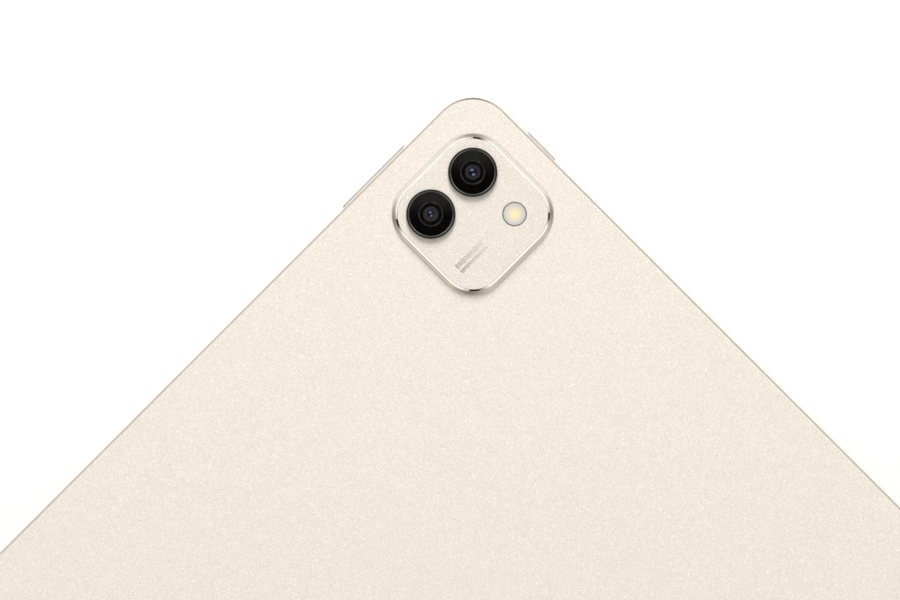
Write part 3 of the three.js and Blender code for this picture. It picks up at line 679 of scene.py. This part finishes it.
# %% [markdown]
# ## Shapes
# A tablet's parts are nearly all one of two kinds: a rounded rectangle whose outline steps in and out as
# it rises, and a turned part. A rounded box could come from a cube with bevelled edges, but every step in
# its wall would need a cut of its own. The outline tool rounds the corners of a square at each level and
# bridges the levels, so a wall's whole profile is one short list. Where a shape steps straight in, the two
# levels still differ a little in height, because a bridge between loops in one plane can turn inside out.

# %% Make the outline tool
def outline(bm, z, length, width, radius, segments):
    """One rounded rectangle at a height, as a single face."""
    known = set(bm.faces)
    corners = bmesh.ops.create_grid(bm, x_segments=1, y_segments=1, size=0.5)["verts"]
    bmesh.ops.scale(bm, vec=(length, width, 1), verts=corners)
    bmesh.ops.translate(bm, vec=(0, 0, z), verts=corners)
    bmesh.ops.bevel(
        bm, geom=corners, offset=radius, offset_type="OFFSET", segments=segments, profile=0.5,
        affect="VERTICES", material=-1,
    )
    return next(face for face in bm.faces if face not in known)


def loft(levels, segments=20, closed=False, bands=None):
    """Rounded rectangles bridged in order, each (z, length, width, radius). A closed one is a ring.

    Bands is a dictionary from a band's number to the number of its material on the piece.
    """
    bm = bmesh.new()
    faces = [outline(bm, *level, segments) for level in levels]
    loops = [list(face.edges) for face in faces]
    inner = faces if closed else faces[1:-1]
    bmesh.ops.delete(bm, geom=inner, context="FACES_ONLY")
    following = loops[1:] + (loops[:1] if closed else [])
    for band, (lower, upper) in enumerate(zip(loops, following)):
        for face in bmesh.ops.bridge_loops(bm, edges=lower + upper)["faces"]:
            face.material_index = (bands or {}).get(band, 0)
    if not closed:
        faces[-1].material_index = (bands or {}).get(len(levels) - 1, 0)
    bmesh.ops.recalc_face_normals(bm, faces=bm.faces)
    return bm


def stepped(length, width, radius, steps, segments=20, closed=False, bands=None):
    """A loft whose outline steps in by an inset at each height: steps are (z, inset)."""
    levels = [(z, length - 2 * inset, width - 2 * inset, radius - inset) for z, inset in steps]
    return loft(levels, segments, closed, bands)


probe = stepped(40, 20, 5, [(0, 0), (3, 0), (4, 1)], 6)
print(len(probe.faces), "faces in a test loft of", round(probe.calc_volume(), 1), "cubic mm")
probe.free()

# %% [markdown]
# Lens rings, barrels, holes and plungers are turned on a lathe, and the second tool does the same: it spins
# a profile of (radius, height) points once round an axis and closes it. Both tools work in millimetres.

# %% Make the turning tool
def turned(profile, steps=96):
    """A profile of (radius, z) points spun round the Z axis and closed."""
    bm = bmesh.new()
    points = [bm.verts.new((r, 0, z)) for r, z in profile]
    edges = [bm.edges.new(pair) for pair in zip(points, points[1:])]
    bmesh.ops.spin(
        bm, geom=points + edges, cent=(0, 0, 0), axis=(0, 0, 1), angle=2 * math.pi, steps=steps,
        use_merge=True,
    )
    bmesh.ops.remove_doubles(bm, verts=bm.verts, dist=1e-4)
    bmesh.ops.recalc_face_normals(bm, faces=bm.faces)
    return bm


def block(low, high, bevel=0.0, segments=2):
    """A box between two corners, with its edges rounded."""
    bm = bmesh.new()
    size = Vector(high) - Vector(low)
    bmesh.ops.create_cube(bm, size=1)
    bmesh.ops.scale(bm, vec=size, verts=bm.verts)
    bmesh.ops.translate(bm, vec=Vector(low) + size / 2, verts=bm.verts)
    if bevel:
        bmesh.ops.bevel(
            bm, geom=bm.edges[:], offset=bevel, segments=segments, profile=0.5, affect="EDGES", material=-1
        )
    return bm


def arc(centre, radius, start, end, count):
    """Points on an arc, from one angle to another in degrees."""
    angles = [math.radians(start + (end - start) * i / count) for i in range(count + 1)]
    return [(centre[0] + radius * math.cos(a), centre[1] + radius * math.sin(a)) for a in angles]


probe = turned([(0, 0), (5, 0), (5, 2), (0, 2)], 48)
print(len(probe.faces), "faces in a test disc of", round(probe.calc_volume(), 1), "cubic mm")
probe.free()

# %% [markdown]
# Each shape becomes a piece of the tablet: it is moved to its place, scaled from millimetres to metres,
# smoothed, and tied to the body it moves with. A weighted normal keeps the large flat faces flat where
# they meet a rounded edge, which plain smoothing would tilt.

# %% Make the piece helpers
def place(*position, turn=None):
    """Where a shape goes: turned first if asked, and then moved, all in millimetres."""
    return Matrix.Translation(position) @ (turn or Matrix.Identity(4))


def merge(*shapes):
    """Several shapes in one mesh. Each is a bmesh, or a pair of a bmesh and its place."""
    whole = bmesh.new()
    for shape in shapes:
        bm, where = shape if isinstance(shape, tuple) else (shape, Matrix.Identity(4))
        bmesh.ops.transform(bm, matrix=where, verts=bm.verts)
        part = bpy.data.meshes.new("part")
        bm.to_mesh(part)
        whole.from_mesh(part)
        bpy.data.meshes.remove(part)
        bm.free()
    return whole


def to_object(name, bm, where=None):
    """A bmesh made an object at the origin, in metres."""
    matrix = Matrix.Scale(MM, 4) @ (where or Matrix.Identity(4))
    bmesh.ops.transform(bm, matrix=matrix, verts=bm.verts)
    mesh = bpy.data.meshes.new(name)
    bm.to_mesh(mesh)
    bm.free()
    piece = bpy.data.objects.new(name, mesh)
    scene.collection.objects.link(piece)
    return piece


def smooth(piece, angle=35):
    """Smooth shading, with edges above an angle kept sharp and flat faces kept flat."""
    piece.data.shade_smooth()
    piece.data.set_sharp_from_angle(angle=math.radians(angle))
    weighted = piece.modifiers.new("flat_faces", "WEIGHTED_NORMAL")
    weighted.keep_sharp = True
    weighted.mode = "FACE_AREA_WITH_ANGLE"


def carve(piece, cutters):
    """Cuts one mesh of separate cutters out of a piece."""
    tool = to_object("cutters", cutters)
    cut = piece.modifiers.new("carve", "BOOLEAN")
    cut.operation = "DIFFERENCE"
    cut.solver = "EXACT"
    cut.object = tool
    result = piece.evaluated_get(bpy.context.evaluated_depsgraph_get())
    piece.data = bpy.data.meshes.new_from_object(result)
    piece.modifiers.clear()
    bpy.data.objects.remove(tool)


def finish_piece(piece, materials, body, slot, *replaced):
    """Gives a piece its finish, its body and the parts it stands for."""
    if not piece.data.materials:
        for material in materials:
            piece.data.materials.append(material)
    smooth(piece)
    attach(piece, body)
    if replaced:
        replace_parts(piece, *replaced)
    print(piece.name, len(piece.data.polygons), "faces on", body)


# Shapes for the walls are drawn lying down, with Z outwards. These turn them to face out of each wall.
RIGHT = Matrix(((0, 0, 1, 0), (1, 0, 0, 0), (0, 1, 0, 0), (0, 0, 0, 1)))
LEFT = Matrix(((0, 0, -1, 0), (-1, 0, 0, 0), (0, 1, 0, 0), (0, 0, 0, 1)))
TOP = Matrix(((-1, 0, 0, 0), (0, 0, 1, 0), (0, 1, 0, 0), (0, 0, 0, 1)))
print("piece helpers ready")

# %% [markdown]
# ## Rear housing
# The housing is one milled shell. Its walls turn into the back through a small chamfer, and a hair-thin
# groove runs inside that edge. Its faces are coloured dark brown, which is painted shade: it draws the fine
# dark line round the back. A solid block with a second one cut out of it would do, but a loft shapes the
# wall, the rim and the groove in one go: it starts at the inner back, goes down the inner wall, round the
# rim, up the outer wall and over the edge.

# %% Loft the shell
WALL = 1.5
RIM = body_low.z
CHAMFER = 0.33
chamfer_steps = [
    (BACK - 0.37, 0), (BACK - 0.345, 0.008), (BACK - 0.33, 0.022),
    (BACK - 0.06, CHAMFER - 0.02), (BACK - 0.05, CHAMFER), (BACK - 0.055, CHAMFER + 0.03),
]
groove_steps = [(BACK - 0.30, CHAMFER + 0.05), (BACK - 0.29, CHAMFER + 0.15), (BACK - 0.04, CHAMFER + 0.17)]
steps = [
    (BACK - 0.8, WALL), (RIM + 0.06, WALL), (RIM, WALL - 0.06), (RIM + 0.003, 0.22), (RIM + 0.06, 0.1),
    (RIM + 0.2, 0),
    *chamfer_steps, *groove_steps, (BACK - 0.01, CHAMFER + 0.20), (BACK, CHAMFER + 0.26),
]
first_painted_shade_band = 5 + len(chamfer_steps)
bands = {band: 1 for band in range(1, first_painted_shade_band)}
# The groove's bands take the third material, whose dark brown is painted shade.
bands.update({band: 2 for band in range(first_painted_shade_band, first_painted_shade_band + 3)})
shell = stepped(LENGTH, WIDTH, CORNER, steps, 24, bands=bands)
print(len(shell.faces), "faces in the blank shell, seam from band", first_painted_shade_band)
housing = to_object("rear_housing_shell", shell)
for finish in (cream_pearl, satin_metal, groove_painted_shade):
    housing.data.materials.append(finish)

# %% [markdown]
# The keys, the socket, the sound holes, the antenna bands and the plateau all need openings. They are made
# as solid cutters, gathered in one mesh and cut out with a single boolean, which is quicker than one for
# each hole and leaves the edges clean.

# %% Shape the cutters
POWER = centre_of("power_button")
VOLUME = centre_of("volume_rocker")
SOCKET = centre_of("socket_shell")
KEY_HEIGHT_MM = 2.2
POWER_LENGTH = 10.0
VOLUME_LENGTH = 22.0
SLOT_GAP = 0.12
GRILLE_HOLES = 8
GRILLE_PITCH = 2.2
SOCKET_WIDTH = 8.94
SOCKET_HEIGHT = 3.2


def wall_slot(length, height):
    """A round-ended slot through a wall, with its mouth opened a little."""
    size = (length + 2 * SLOT_GAP, height + 2 * SLOT_GAP)
    levels = [(-3, *size, size[1] / 2 - 0.01), (-0.08, *size, size[1] / 2 - 0.01)]
    wide = (size[0] + 0.16, size[1] + 0.16)
    levels += [(0, *wide, wide[1] / 2 - 0.01), (1, *wide, wide[1] / 2 - 0.01)]
    return loft(levels, 10)


def wall_hole(radius, steps=20):
    """A drilled hole with a small countersink."""
    wide = radius + 0.08
    return turned([(0, -3), (radius, -3), (radius, -0.08), (wide, 0), (wide, 1), (0, 1)], steps)


print("a key slot is", round(POWER_LENGTH + 2 * SLOT_GAP, 2), "mm long")

# %% Place the cutters and cut
half_length, half_width = LENGTH / 2, WIDTH / 2
MICROPHONE_HEIGHT = 3.2
power_place = place(half_length, POWER.y, POWER.z, turn=RIGHT)
volume_place = place(VOLUME.x, half_width, VOLUME.z, turn=TOP)
cutters = [
    (stepped(BUMP_SIDE + 0.08, BUMP_SIDE + 0.08, BUMP_CORNER + 0.04, [(BACK - 2, 0), (BACK + 1, 0)], 32),
     place(BUMP.x, BUMP.y, 0)),
    (wall_slot(POWER_LENGTH, KEY_HEIGHT_MM), power_place),
    (wall_slot(VOLUME_LENGTH, KEY_HEIGHT_MM), volume_place),
    (wall_slot(SOCKET_WIDTH, SOCKET_HEIGHT), place(-half_length, 0, SOCKET.z, turn=LEFT)),
]
for node in ("microphone_1", "microphone_2"):
    where = place(centre_of(node).x, half_width, MICROPHONE_HEIGHT, turn=TOP)
    cutters.append((wall_hole(0.45), where))
for node in ("right_upper", "right_lower", "left_upper", "left_lower"):
    speaker = centre_of("speaker_mesh_" + node)
    side, turn = (1, RIGHT) if speaker.x > 0 else (-1, LEFT)
    for i in range(GRILLE_HOLES):
        along = speaker.y + (i - (GRILLE_HOLES - 1) / 2) * GRILLE_PITCH
        cutters.append((wall_hole(0.65), place(side * half_length, along, speaker.z, turn=turn)))
for node in ("antenna_band_1", "antenna_band_2"):
    low, high = box_mm(node)
    cutters.append(block(low - Vector((1, 0.01, 0.01)), high + Vector((0.02, 0.01, 0.01))))
print(len(cutters), "openings")
carve(housing, merge(*cutters))
finish_piece(housing, [], "chassis", "pearl_aluminium", "rear_housing")

# %% [markdown]
# ## Camera plateau
# A polished ring stands round the plateau. Its outer side slopes at about 40 degrees, so it mirrors the
# low, shaded part of the room, and its crown is nearly level and mirrors the bright screens overhead. A
# bevelled box would have one slope only, so the ring is a closed loft: up the outside, over the crown, and
# down the inside.

# %% Loft the ring
ring_steps = [
    (BACK - 1.0, 0), (BACK + 0.04, 0), (BACK + 0.08, 0.03), (BACK + 0.42, 0.44), (BACK + 0.76, 0.86),
    (BACK + 0.84, 0.96), (BACK + 0.90, 1.08), (BACK + 0.93, 1.20), (BACK + 0.96, 1.37),
    (BACK + 0.90, RING), (BACK - 1.0, RING),
]
ring = to_object("plateau_ring", stepped(BUMP_SIDE, BUMP_SIDE, BUMP_CORNER, ring_steps, 32, closed=True),
                 place(BUMP.x, BUMP.y, 0))
finish_piece(ring, [polished_rim], "chassis", "polished_aluminium", "camera_bezel")

# %% [markdown]
# The deck is a painted plate inside the ring, with a hole for each camera and one for the flash. The holes
# have a tiny bevel, because a real edge always catches a little light.

# %% Loft the deck and drill it
DECK_GAP = 0.02
LENS_HOLE = 5.7
FLASH_HOLE = 3.06
DECK_SIDE = BUMP_SIDE - 2 * RING - DECK_GAP
deck_steps = [(DECK_TOP - 0.85, 0), (DECK_TOP - 0.015, 0), (DECK_TOP, 0.015)]
deck = to_object("plateau_deck", stepped(DECK_SIDE, DECK_SIDE, BUMP_CORNER - RING, deck_steps, 24),
                 place(BUMP.x, BUMP.y, 0))


def deck_hole(radius):
    """A hole through the deck, with a small bevel at its top."""
    top = DECK_TOP
    return turned([(0, top - 2), (radius, top - 2), (radius, top - 0.05), (radius + 0.05, top),
                   (radius + 0.05, top + 1), (0, top + 1)])


holes = [(deck_hole(radius), place(spot.x, spot.y, 0))
         for spot, radius in ((MAIN, LENS_HOLE), (SECOND, LENS_HOLE), (FLASH, FLASH_HOLE))]
carve(deck, merge(*holes))
finish_piece(deck, [deck_pearl], "chassis", "pearl_aluminium", "camera_deck")

# %% [markdown]
# ## Lenses
# Each camera shows a black metal ring with one thin bright chamfer, a flat window almost level with it,
# and under the window a black cone, the rounded lip of the barrel, a dark stop and a small domed lens. All
# are turned. The barrel of the main camera rides on the focus carriage, so it moves behind its window.

# %% Turn the rings, windows and baffles
ring_low, ring_high = box_mm("main_lens_ring")
RING_TOP = ring_high.z
RING_RADIUS = (ring_high.x - ring_low.x) / 2


def lens_ring():
    """A ring with a rounded shoulder, a thin chamfer at its bore and a collar that holds the window."""
    top, r = RING_TOP, RING_RADIUS
    shoulder = arc((r - 0.22, top - 0.22), 0.22, 0, 90, 6)
    return turned([
        (5.0, top - 0.6), (5.0, top - 1.45), (5.6, top - 1.45), (5.6, top - 0.76), (r - 0.05, top - 0.76),
        (r, top - 0.70), *shoulder, (5.65, top), (5.56, top - 0.08), (5.56, top - 0.6), (5.0, top - 0.6),
    ], 128)


def lens_window():
    """A flat pane with a small rounded edge."""
    top = RING_TOP - 0.05
    return turned([(0, top - 0.36), (5.47, top - 0.36), (5.5, top - 0.33), (5.5, top - 0.06),
                   (5.48, top - 0.02), (5.44, top), (0, top)], 128)


def lens_baffle():
    """The glossy black cover under the window. It rises a little towards the barrel."""
    seat = RING_TOP - 0.6
    return turned([(5.4, seat), (5.4, seat + 0.01), (3.24, seat + 0.16), (3.24, seat), (5.4, seat)], 128)


def chamfer_faces(piece, centre, low, high, index):
    """Gives the faces in a band of radii a second material."""
    for face in piece.data.polygons:
        point = face.center / MM
        radius = math.hypot(point.x - centre.x, point.y - centre.y)
        if low < radius < high and face.normal.z > 0.3 and point.z > RING_TOP - 0.12:
            face.material_index = index


for camera_name, centre in (("main", MAIN), ("second", SECOND)):
    where = place(centre.x, centre.y, 0)
    ring = to_object(camera_name + "_ring", lens_ring(), where)
    finish_piece(ring, [black_anodised, silver_line], "chassis", "black_metal", camera_name + "_lens_ring")
    chamfer_faces(ring, centre, 5.56, 5.65, 1)
    window = to_object(camera_name + "_window", lens_window(), where)
    finish_piece(window, [window_glass], "chassis", "lens_glass", camera_name + "_lens_window")
    baffle = to_object(camera_name + "_baffle", lens_baffle(), where)
    finish_piece(baffle, [baffle_black], "chassis", "black_plastic")

# %% [markdown]
# The barrel holds the lenses. Seen from above it is a pale lip, a deep groove, a dull stop and the front
# element in the middle. It is one turned piece, and the faces at each radius then get their own finish,
# which keeps it in one piece on one body. The main camera's is larger and slides to focus.

# %% Turn the barrels and the front lenses
def barrel(eye):
    """A barrel: a rounded lip, a deep groove inside it, and a stop with the lens's eye in it."""
    lip = arc((2.98, 6.72), 0.18, 0, 180, 8)
    return turned([
        (0, 4.7), (3.16, 4.7), *lip, (2.78, 6.36), (1.96, 6.34), (1.92, 6.5), (1.84, 6.55),
        (eye + 0.18, 6.5), (eye + 0.06, 6.42), (eye, 6.2), (0, 6.18),
    ], 96)


def front_lens(eye):
    """A shallow dome on a short edge."""
    sag = 0.22 * eye
    radius = (eye * eye + sag * sag) / (2 * sag)
    edge = math.degrees(math.asin(eye / radius))
    dome = arc((0, 6.46 - radius), radius, 90 - edge, 90, 12)
    return turned([(0, 6.2), (eye, 6.2), *dome], 64)


def paint(piece, centre, rings, lowest):
    """Gives the faces above a height a material by their radius: rings are (largest radius, material)."""
    for face in piece.data.polygons:
        point = face.center / MM
        radius = math.hypot(point.x - centre.x, point.y - centre.y)
        if point.z > lowest:
            face.material_index = next((index for limit, index in rings if radius < limit), 0)


CAMERAS = (("main", MAIN, 1.02, "focus_carriage"), ("second", SECOND, 0.80, "chassis"))
for camera_name, centre, eye, body in CAMERAS:
    where = place(centre.x, centre.y, 0)
    tube = to_object(camera_name + "_barrel", barrel(eye), where)
    finish_piece(tube, [lens_black, barrel_plastic, stop_plastic], body, "black_plastic",
                 camera_name + "_lens_barrel")
    paint(tube, centre, [(eye + 0.1, 0), (1.93, 2), (2.77, 0), (3.2, 1)], 6.3)
    lens = to_object(camera_name + "_eye", front_lens(eye - 0.02), where)
    # Each front lens's violet-blue lobes are a painted reflection in its base colour.
    violet_reflection_paint = lens_with_painted_reflection(camera_name + "_painted_violet_reflection", centre, eye)
    finish_piece(lens, [violet_reflection_paint], body, "lens_glass", camera_name + "_front_lens")

# %% [markdown]
# ## Flash
# A round milky lens sits in the deck, a hair above it, with a rounded edge. It is turned like the others,
# and its look comes from the finish mixed above.

# %% Turn the flash lens
flash_low, flash_high = box_mm("flash_diffuser")
flash_edge = arc((2.9, flash_high.z - 0.1), 0.1, 0, 90, 4)
flash_shape = turned([(0, flash_low.z), (3.0, flash_low.z), *flash_edge, (2.6, flash_high.z - 0.01),
                      (0, flash_high.z - 0.01)])
flash_piece = to_object("flash_cover", flash_shape, place(FLASH.x, FLASH.y, 0))
finish_piece(flash_piece, [flash_lens], "chassis", "clear_diffuser", "flash_diffuser")

# %% [markdown]
# ## Keys
# Both keys are pills with a flat face and a narrow chamfer round it. The chamfer is bright-cut and mirrors
# the shaded side of the room, so it gets a darker colour of its own: painted shade, which draws it as a thin
# grey outline. Inside the wall each key has a flange that stops it from falling out, and plungers that reach
# its switches. The parts of a key are gathered in one mesh.

# %% Loft the keys
KEY_FACE = 0.6


def key_cap(length):
    """The pill of a key. Its chamfer is the second material, darkened with painted shade, and its side and
    face are the first.
    """
    steps = [(-1.45, 0), (KEY_FACE - 0.21, 0), (KEY_FACE - 0.20, 0.01), (KEY_FACE - 0.01, 0.19),
             (KEY_FACE, 0.22)]
    chamfer = {band: 1 for band in range(1, len(steps) - 1)}
    return stepped(length, KEY_HEIGHT_MM, KEY_HEIGHT_MM / 2 - 0.01, steps, 12, bands=chamfer)


def plunger(x, tip):
    """A round pin that ends a little above a switch."""
    return (turned([(0, tip), (0.7, tip), (0.7, -2.0), (0, -2.0)], 24), place(x, 0, 0))


flange = block((-4, -1.6, -2.15), (4, 1.6, -1.66), 0.1)
power = merge(key_cap(POWER_LENGTH), block((-3.8, -0.9, -1.9), (3.8, 0.9, -1.4)), flange, plunger(0, -2.9))
power_piece = to_object("power_key_cap", power, power_place)
finish_piece(power_piece, [key_metal, key_chamfer_painted_shade], "power_key", "polished_aluminium", "power_button")

flange = block((-5, -1.6, -2.15), (5, 1.6, -1.66), 0.1)
volume = merge(key_cap(VOLUME_LENGTH), block((-7.3, -0.9, -1.9), (7.3, 0.9, -1.4)), flange,
               plunger(-6.5, -2.5), plunger(6.5, -2.5))
volume_piece = to_object("volume_key_cap", volume, volume_place)
finish_piece(volume_piece, [key_metal, key_chamfer_painted_shade], "volume_key", "polished_aluminium", "volume_rocker")

# %% [markdown]
# ## Printed mark
# Two short rows of plain ticks are printed on the deck. The ink is a hundredth of a millimetre thick, and
# its colour lightens along the row, a painted reflection. One tick is made and repeated.

# %% Print the ticks
TICK_WIDTH = 0.20
MARK_START = 93.6


def tick(x, y, height):
    """One tick with rounded ends, a hair above the deck."""
    bar = loft([(z, TICK_WIDTH, height, 0.08) for z in (DECK_TOP - 0.02, DECK_TOP + 0.012)], 2)
    return (bar, place(x, y, 0))


ticks = [tick(MARK_START + 0.54 * i, 57.6, 1.2 if i % 4 else 1.45) for i in range(17)]
ticks += [tick(MARK_START + 0.46 * i, 55.95, 0.95) for i in range(20)]
mark = to_object("printed_mark", merge(*ticks))
finish_piece(mark, [ink_with_painted_reflection], "chassis", "black_plastic")

# %% [markdown]
# ## Display side
# The cover glass lies on the table. Its edge is rounded, and the panel behind it shows as a slightly
# lighter black inside a deep black border, with the front camera in the border. Clear glass over a black
# sheet would do too, but a screen that is off is so dark that one coated surface looks the same.

# %% Mix the screen glass
screen_glass, tree, shader = new_finish("screen_glass", Coat_Weight=0.6, Coat_Roughness=0.03)
PANEL_MARGIN = 1.2
panel_high = box_mm("display_panel")[1]
front_camera = centre_of("front_camera")
own = add_node(tree, "TexCoord").outputs["Object"]
parts = add_node(tree, "SeparateXYZ", {"Vector": own})
seen = panel_high - Vector((PANEL_MARGIN, PANEL_MARGIN, 0))
past_end = maths(tree, "SUBTRACT", maths(tree, "ABSOLUTE", parts.outputs["X"]), seen.x * MM)
past_side = maths(tree, "SUBTRACT", maths(tree, "ABSOLUTE", parts.outputs["Y"]), seen.y * MM)
inside = maths(tree, "LESS_THAN", maths(tree, "MAXIMUM", past_end, past_side), 0.0)
moved = add_node(tree, "Mapping", {"Vector": own},
                 {"Location": (-front_camera.x * MM, -front_camera.y * MM, 0)}).outputs[0]
reach = add_node(tree, "VectorMath", {0: moved}, operation="LENGTH").outputs["Value"]
pupil = maths(tree, "LESS_THAN", reach, 1.1 * MM)
iris = maths(tree, "SUBTRACT", maths(tree, "LESS_THAN", reach, 1.7 * MM), pupil)
tone = mix_colours(tree, inside, (0.003, 0.003, 0.0035, 1), (0.011, 0.012, 0.015, 1))
tone = mix_colours(tree, iris, tone, (0.03, 0.03, 0.035, 1))
tone = mix_colours(tree, pupil, tone, (0.006, 0.008, 0.03, 1))
tree.links.new(tone, shader.inputs["Base Color"])
smears = use_group(tree, grain_group, Scale=400.0, Smoothest=0.03, Roughest=0.09)
tree.links.new(smears.outputs["Roughness"], shader.inputs["Roughness"])
print("lit area", round(2 * seen.x, 1), "x", round(2 * seen.y, 1), "mm")

# %% Loft the cover glass
glass_low, glass_high = box_mm("display_glass")
GLASS_INSET = (LENGTH - (glass_high.x - glass_low.x)) / 2
glass_steps = [(0, 0.45), (0.02, 0.26), (0.08, 0.11), (0.18, 0.03), (0.3, 0), (glass_high.z, 0)]
glass_steps = [(z, inset + GLASS_INSET) for z, inset in glass_steps]
glass = to_object("cover_glass", stepped(LENGTH, WIDTH, CORNER, glass_steps, 24))
finish_piece(glass, [screen_glass], "chassis", "cover_glass", "display_glass")

# %% [markdown]
# ## Socket
# The shell is a drawn steel ring with a rounded mouth, so it is a closed loft of ovals. The tongue stands in
# it, with twelve gold contacts on each face. The contacts are small blocks made by a loop, and they stand
# proud of the tongue, because a painted pattern would have no edge to catch the light.

# %% Make the socket
shell_low, shell_high = box_mm("socket_shell")
socket_place = place(shell_low.x, SOCKET.y, SOCKET.z, turn=LEFT)
DEEP = -(shell_high.x - shell_low.x)


def oval(z, shrink):
    """One level of the shell: a round-ended outline, smaller by that much on every side."""
    width = SOCKET_HEIGHT - 2 * shrink
    return (z, SOCKET_WIDTH - 2 * shrink, width, width / 2 - 0.01)


mouth = [oval(DEEP, 0), oval(-0.12, 0), oval(-0.03, 0.04), oval(0, 0.12), oval(-0.03, 0.24), oval(-0.16, 0.3)]
socket_ring = to_object("socket_ring", loft([*mouth, oval(DEEP, 0.3)], 10, closed=True), socket_place)
finish_piece(socket_ring, [shell_steel], "chassis", "steel", "socket_shell")

root = loft([(DEEP, 8.2, 2.46, 1.2), (DEEP + 1.2, 8.2, 2.46, 1.2), (DEEP + 1.3, 8.0, 2.26, 1.1)], 10)
tongue = merge(root, block((-3.35, -0.35, DEEP + 1.2), (3.35, 0.35, -1.1), 0.12))
tongue_piece = to_object("socket_tongue_body", tongue, socket_place)
finish_piece(tongue_piece, [black_plastic], "chassis", "black_plastic", "socket_tongue")

CONTACTS = 12
contacts = []
for i in range(CONTACTS):
    x = (i - (CONTACTS - 1) / 2) * 0.5
    for side in (-1, 1):
        low, high = sorted((side * 0.33, side * 0.38))
        contacts.append(block((x - 0.12, low, DEEP + 1.35), (x + 0.12, high, -1.6), 0.02, 1))
contact_piece = to_object("socket_contacts", merge(*contacts), socket_place)
finish_piece(contact_piece, [contact_gold], "chassis", "steel")

# %% [markdown]
# ## Inside and small parts
# The parts inside are hardly ever seen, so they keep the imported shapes, and each gets the finish of the
# real part. A table of finishes and names is easier to read than a line for each part.

# %% Give every other part its finish
FINISHES = [
    (band_plastic, "antenna_band_1 antenna_band_2"),
    (black_plastic, "display_frame processor speaker_right_upper speaker_right_lower speaker_left_upper "
                    "speaker_left_lower microphone_1 microphone_2 front_camera light_sensor"),
    (screen_glass, "display_panel"),
    (light_film, "backlight_unit"),
    (graphite, "heat_spreader"),
    (circuit_board, "flash_board socket_board main_board battery_board"),
    (phosphor, "flash_led"),
    (black_anodised, "main_camera_body second_camera_body"),
    (shell_steel, "power_switch volume_up_switch volume_down_switch "
                  "board_screw_1 board_screw_2 board_screw_3 board_screw_4 socket_board_screw_1 "
                  "socket_board_screw_2"),
    (can_steel, "processor_shield memory_shield"),
    (cell_foil, "battery_cell_left battery_cell_right"),
    (cable_film, "power_flex volume_flex link_flex display_flex"),
    (dust_mesh, "speaker_mesh_right_upper speaker_mesh_right_lower speaker_mesh_left_upper "
                "speaker_mesh_left_lower"),
]
finished = set()
for material, names in FINISHES:
    for name in names.split():
        for part_slot in nodes[name].material_slots:
            part_slot.material = material
        finished.add(name)
replaced = {name for piece in bpy.data.objects for name in (piece.get("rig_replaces") or [])}
print(len(finished), "parts keep their shape; not finished:", sorted(set(nodes) - finished - replaced))
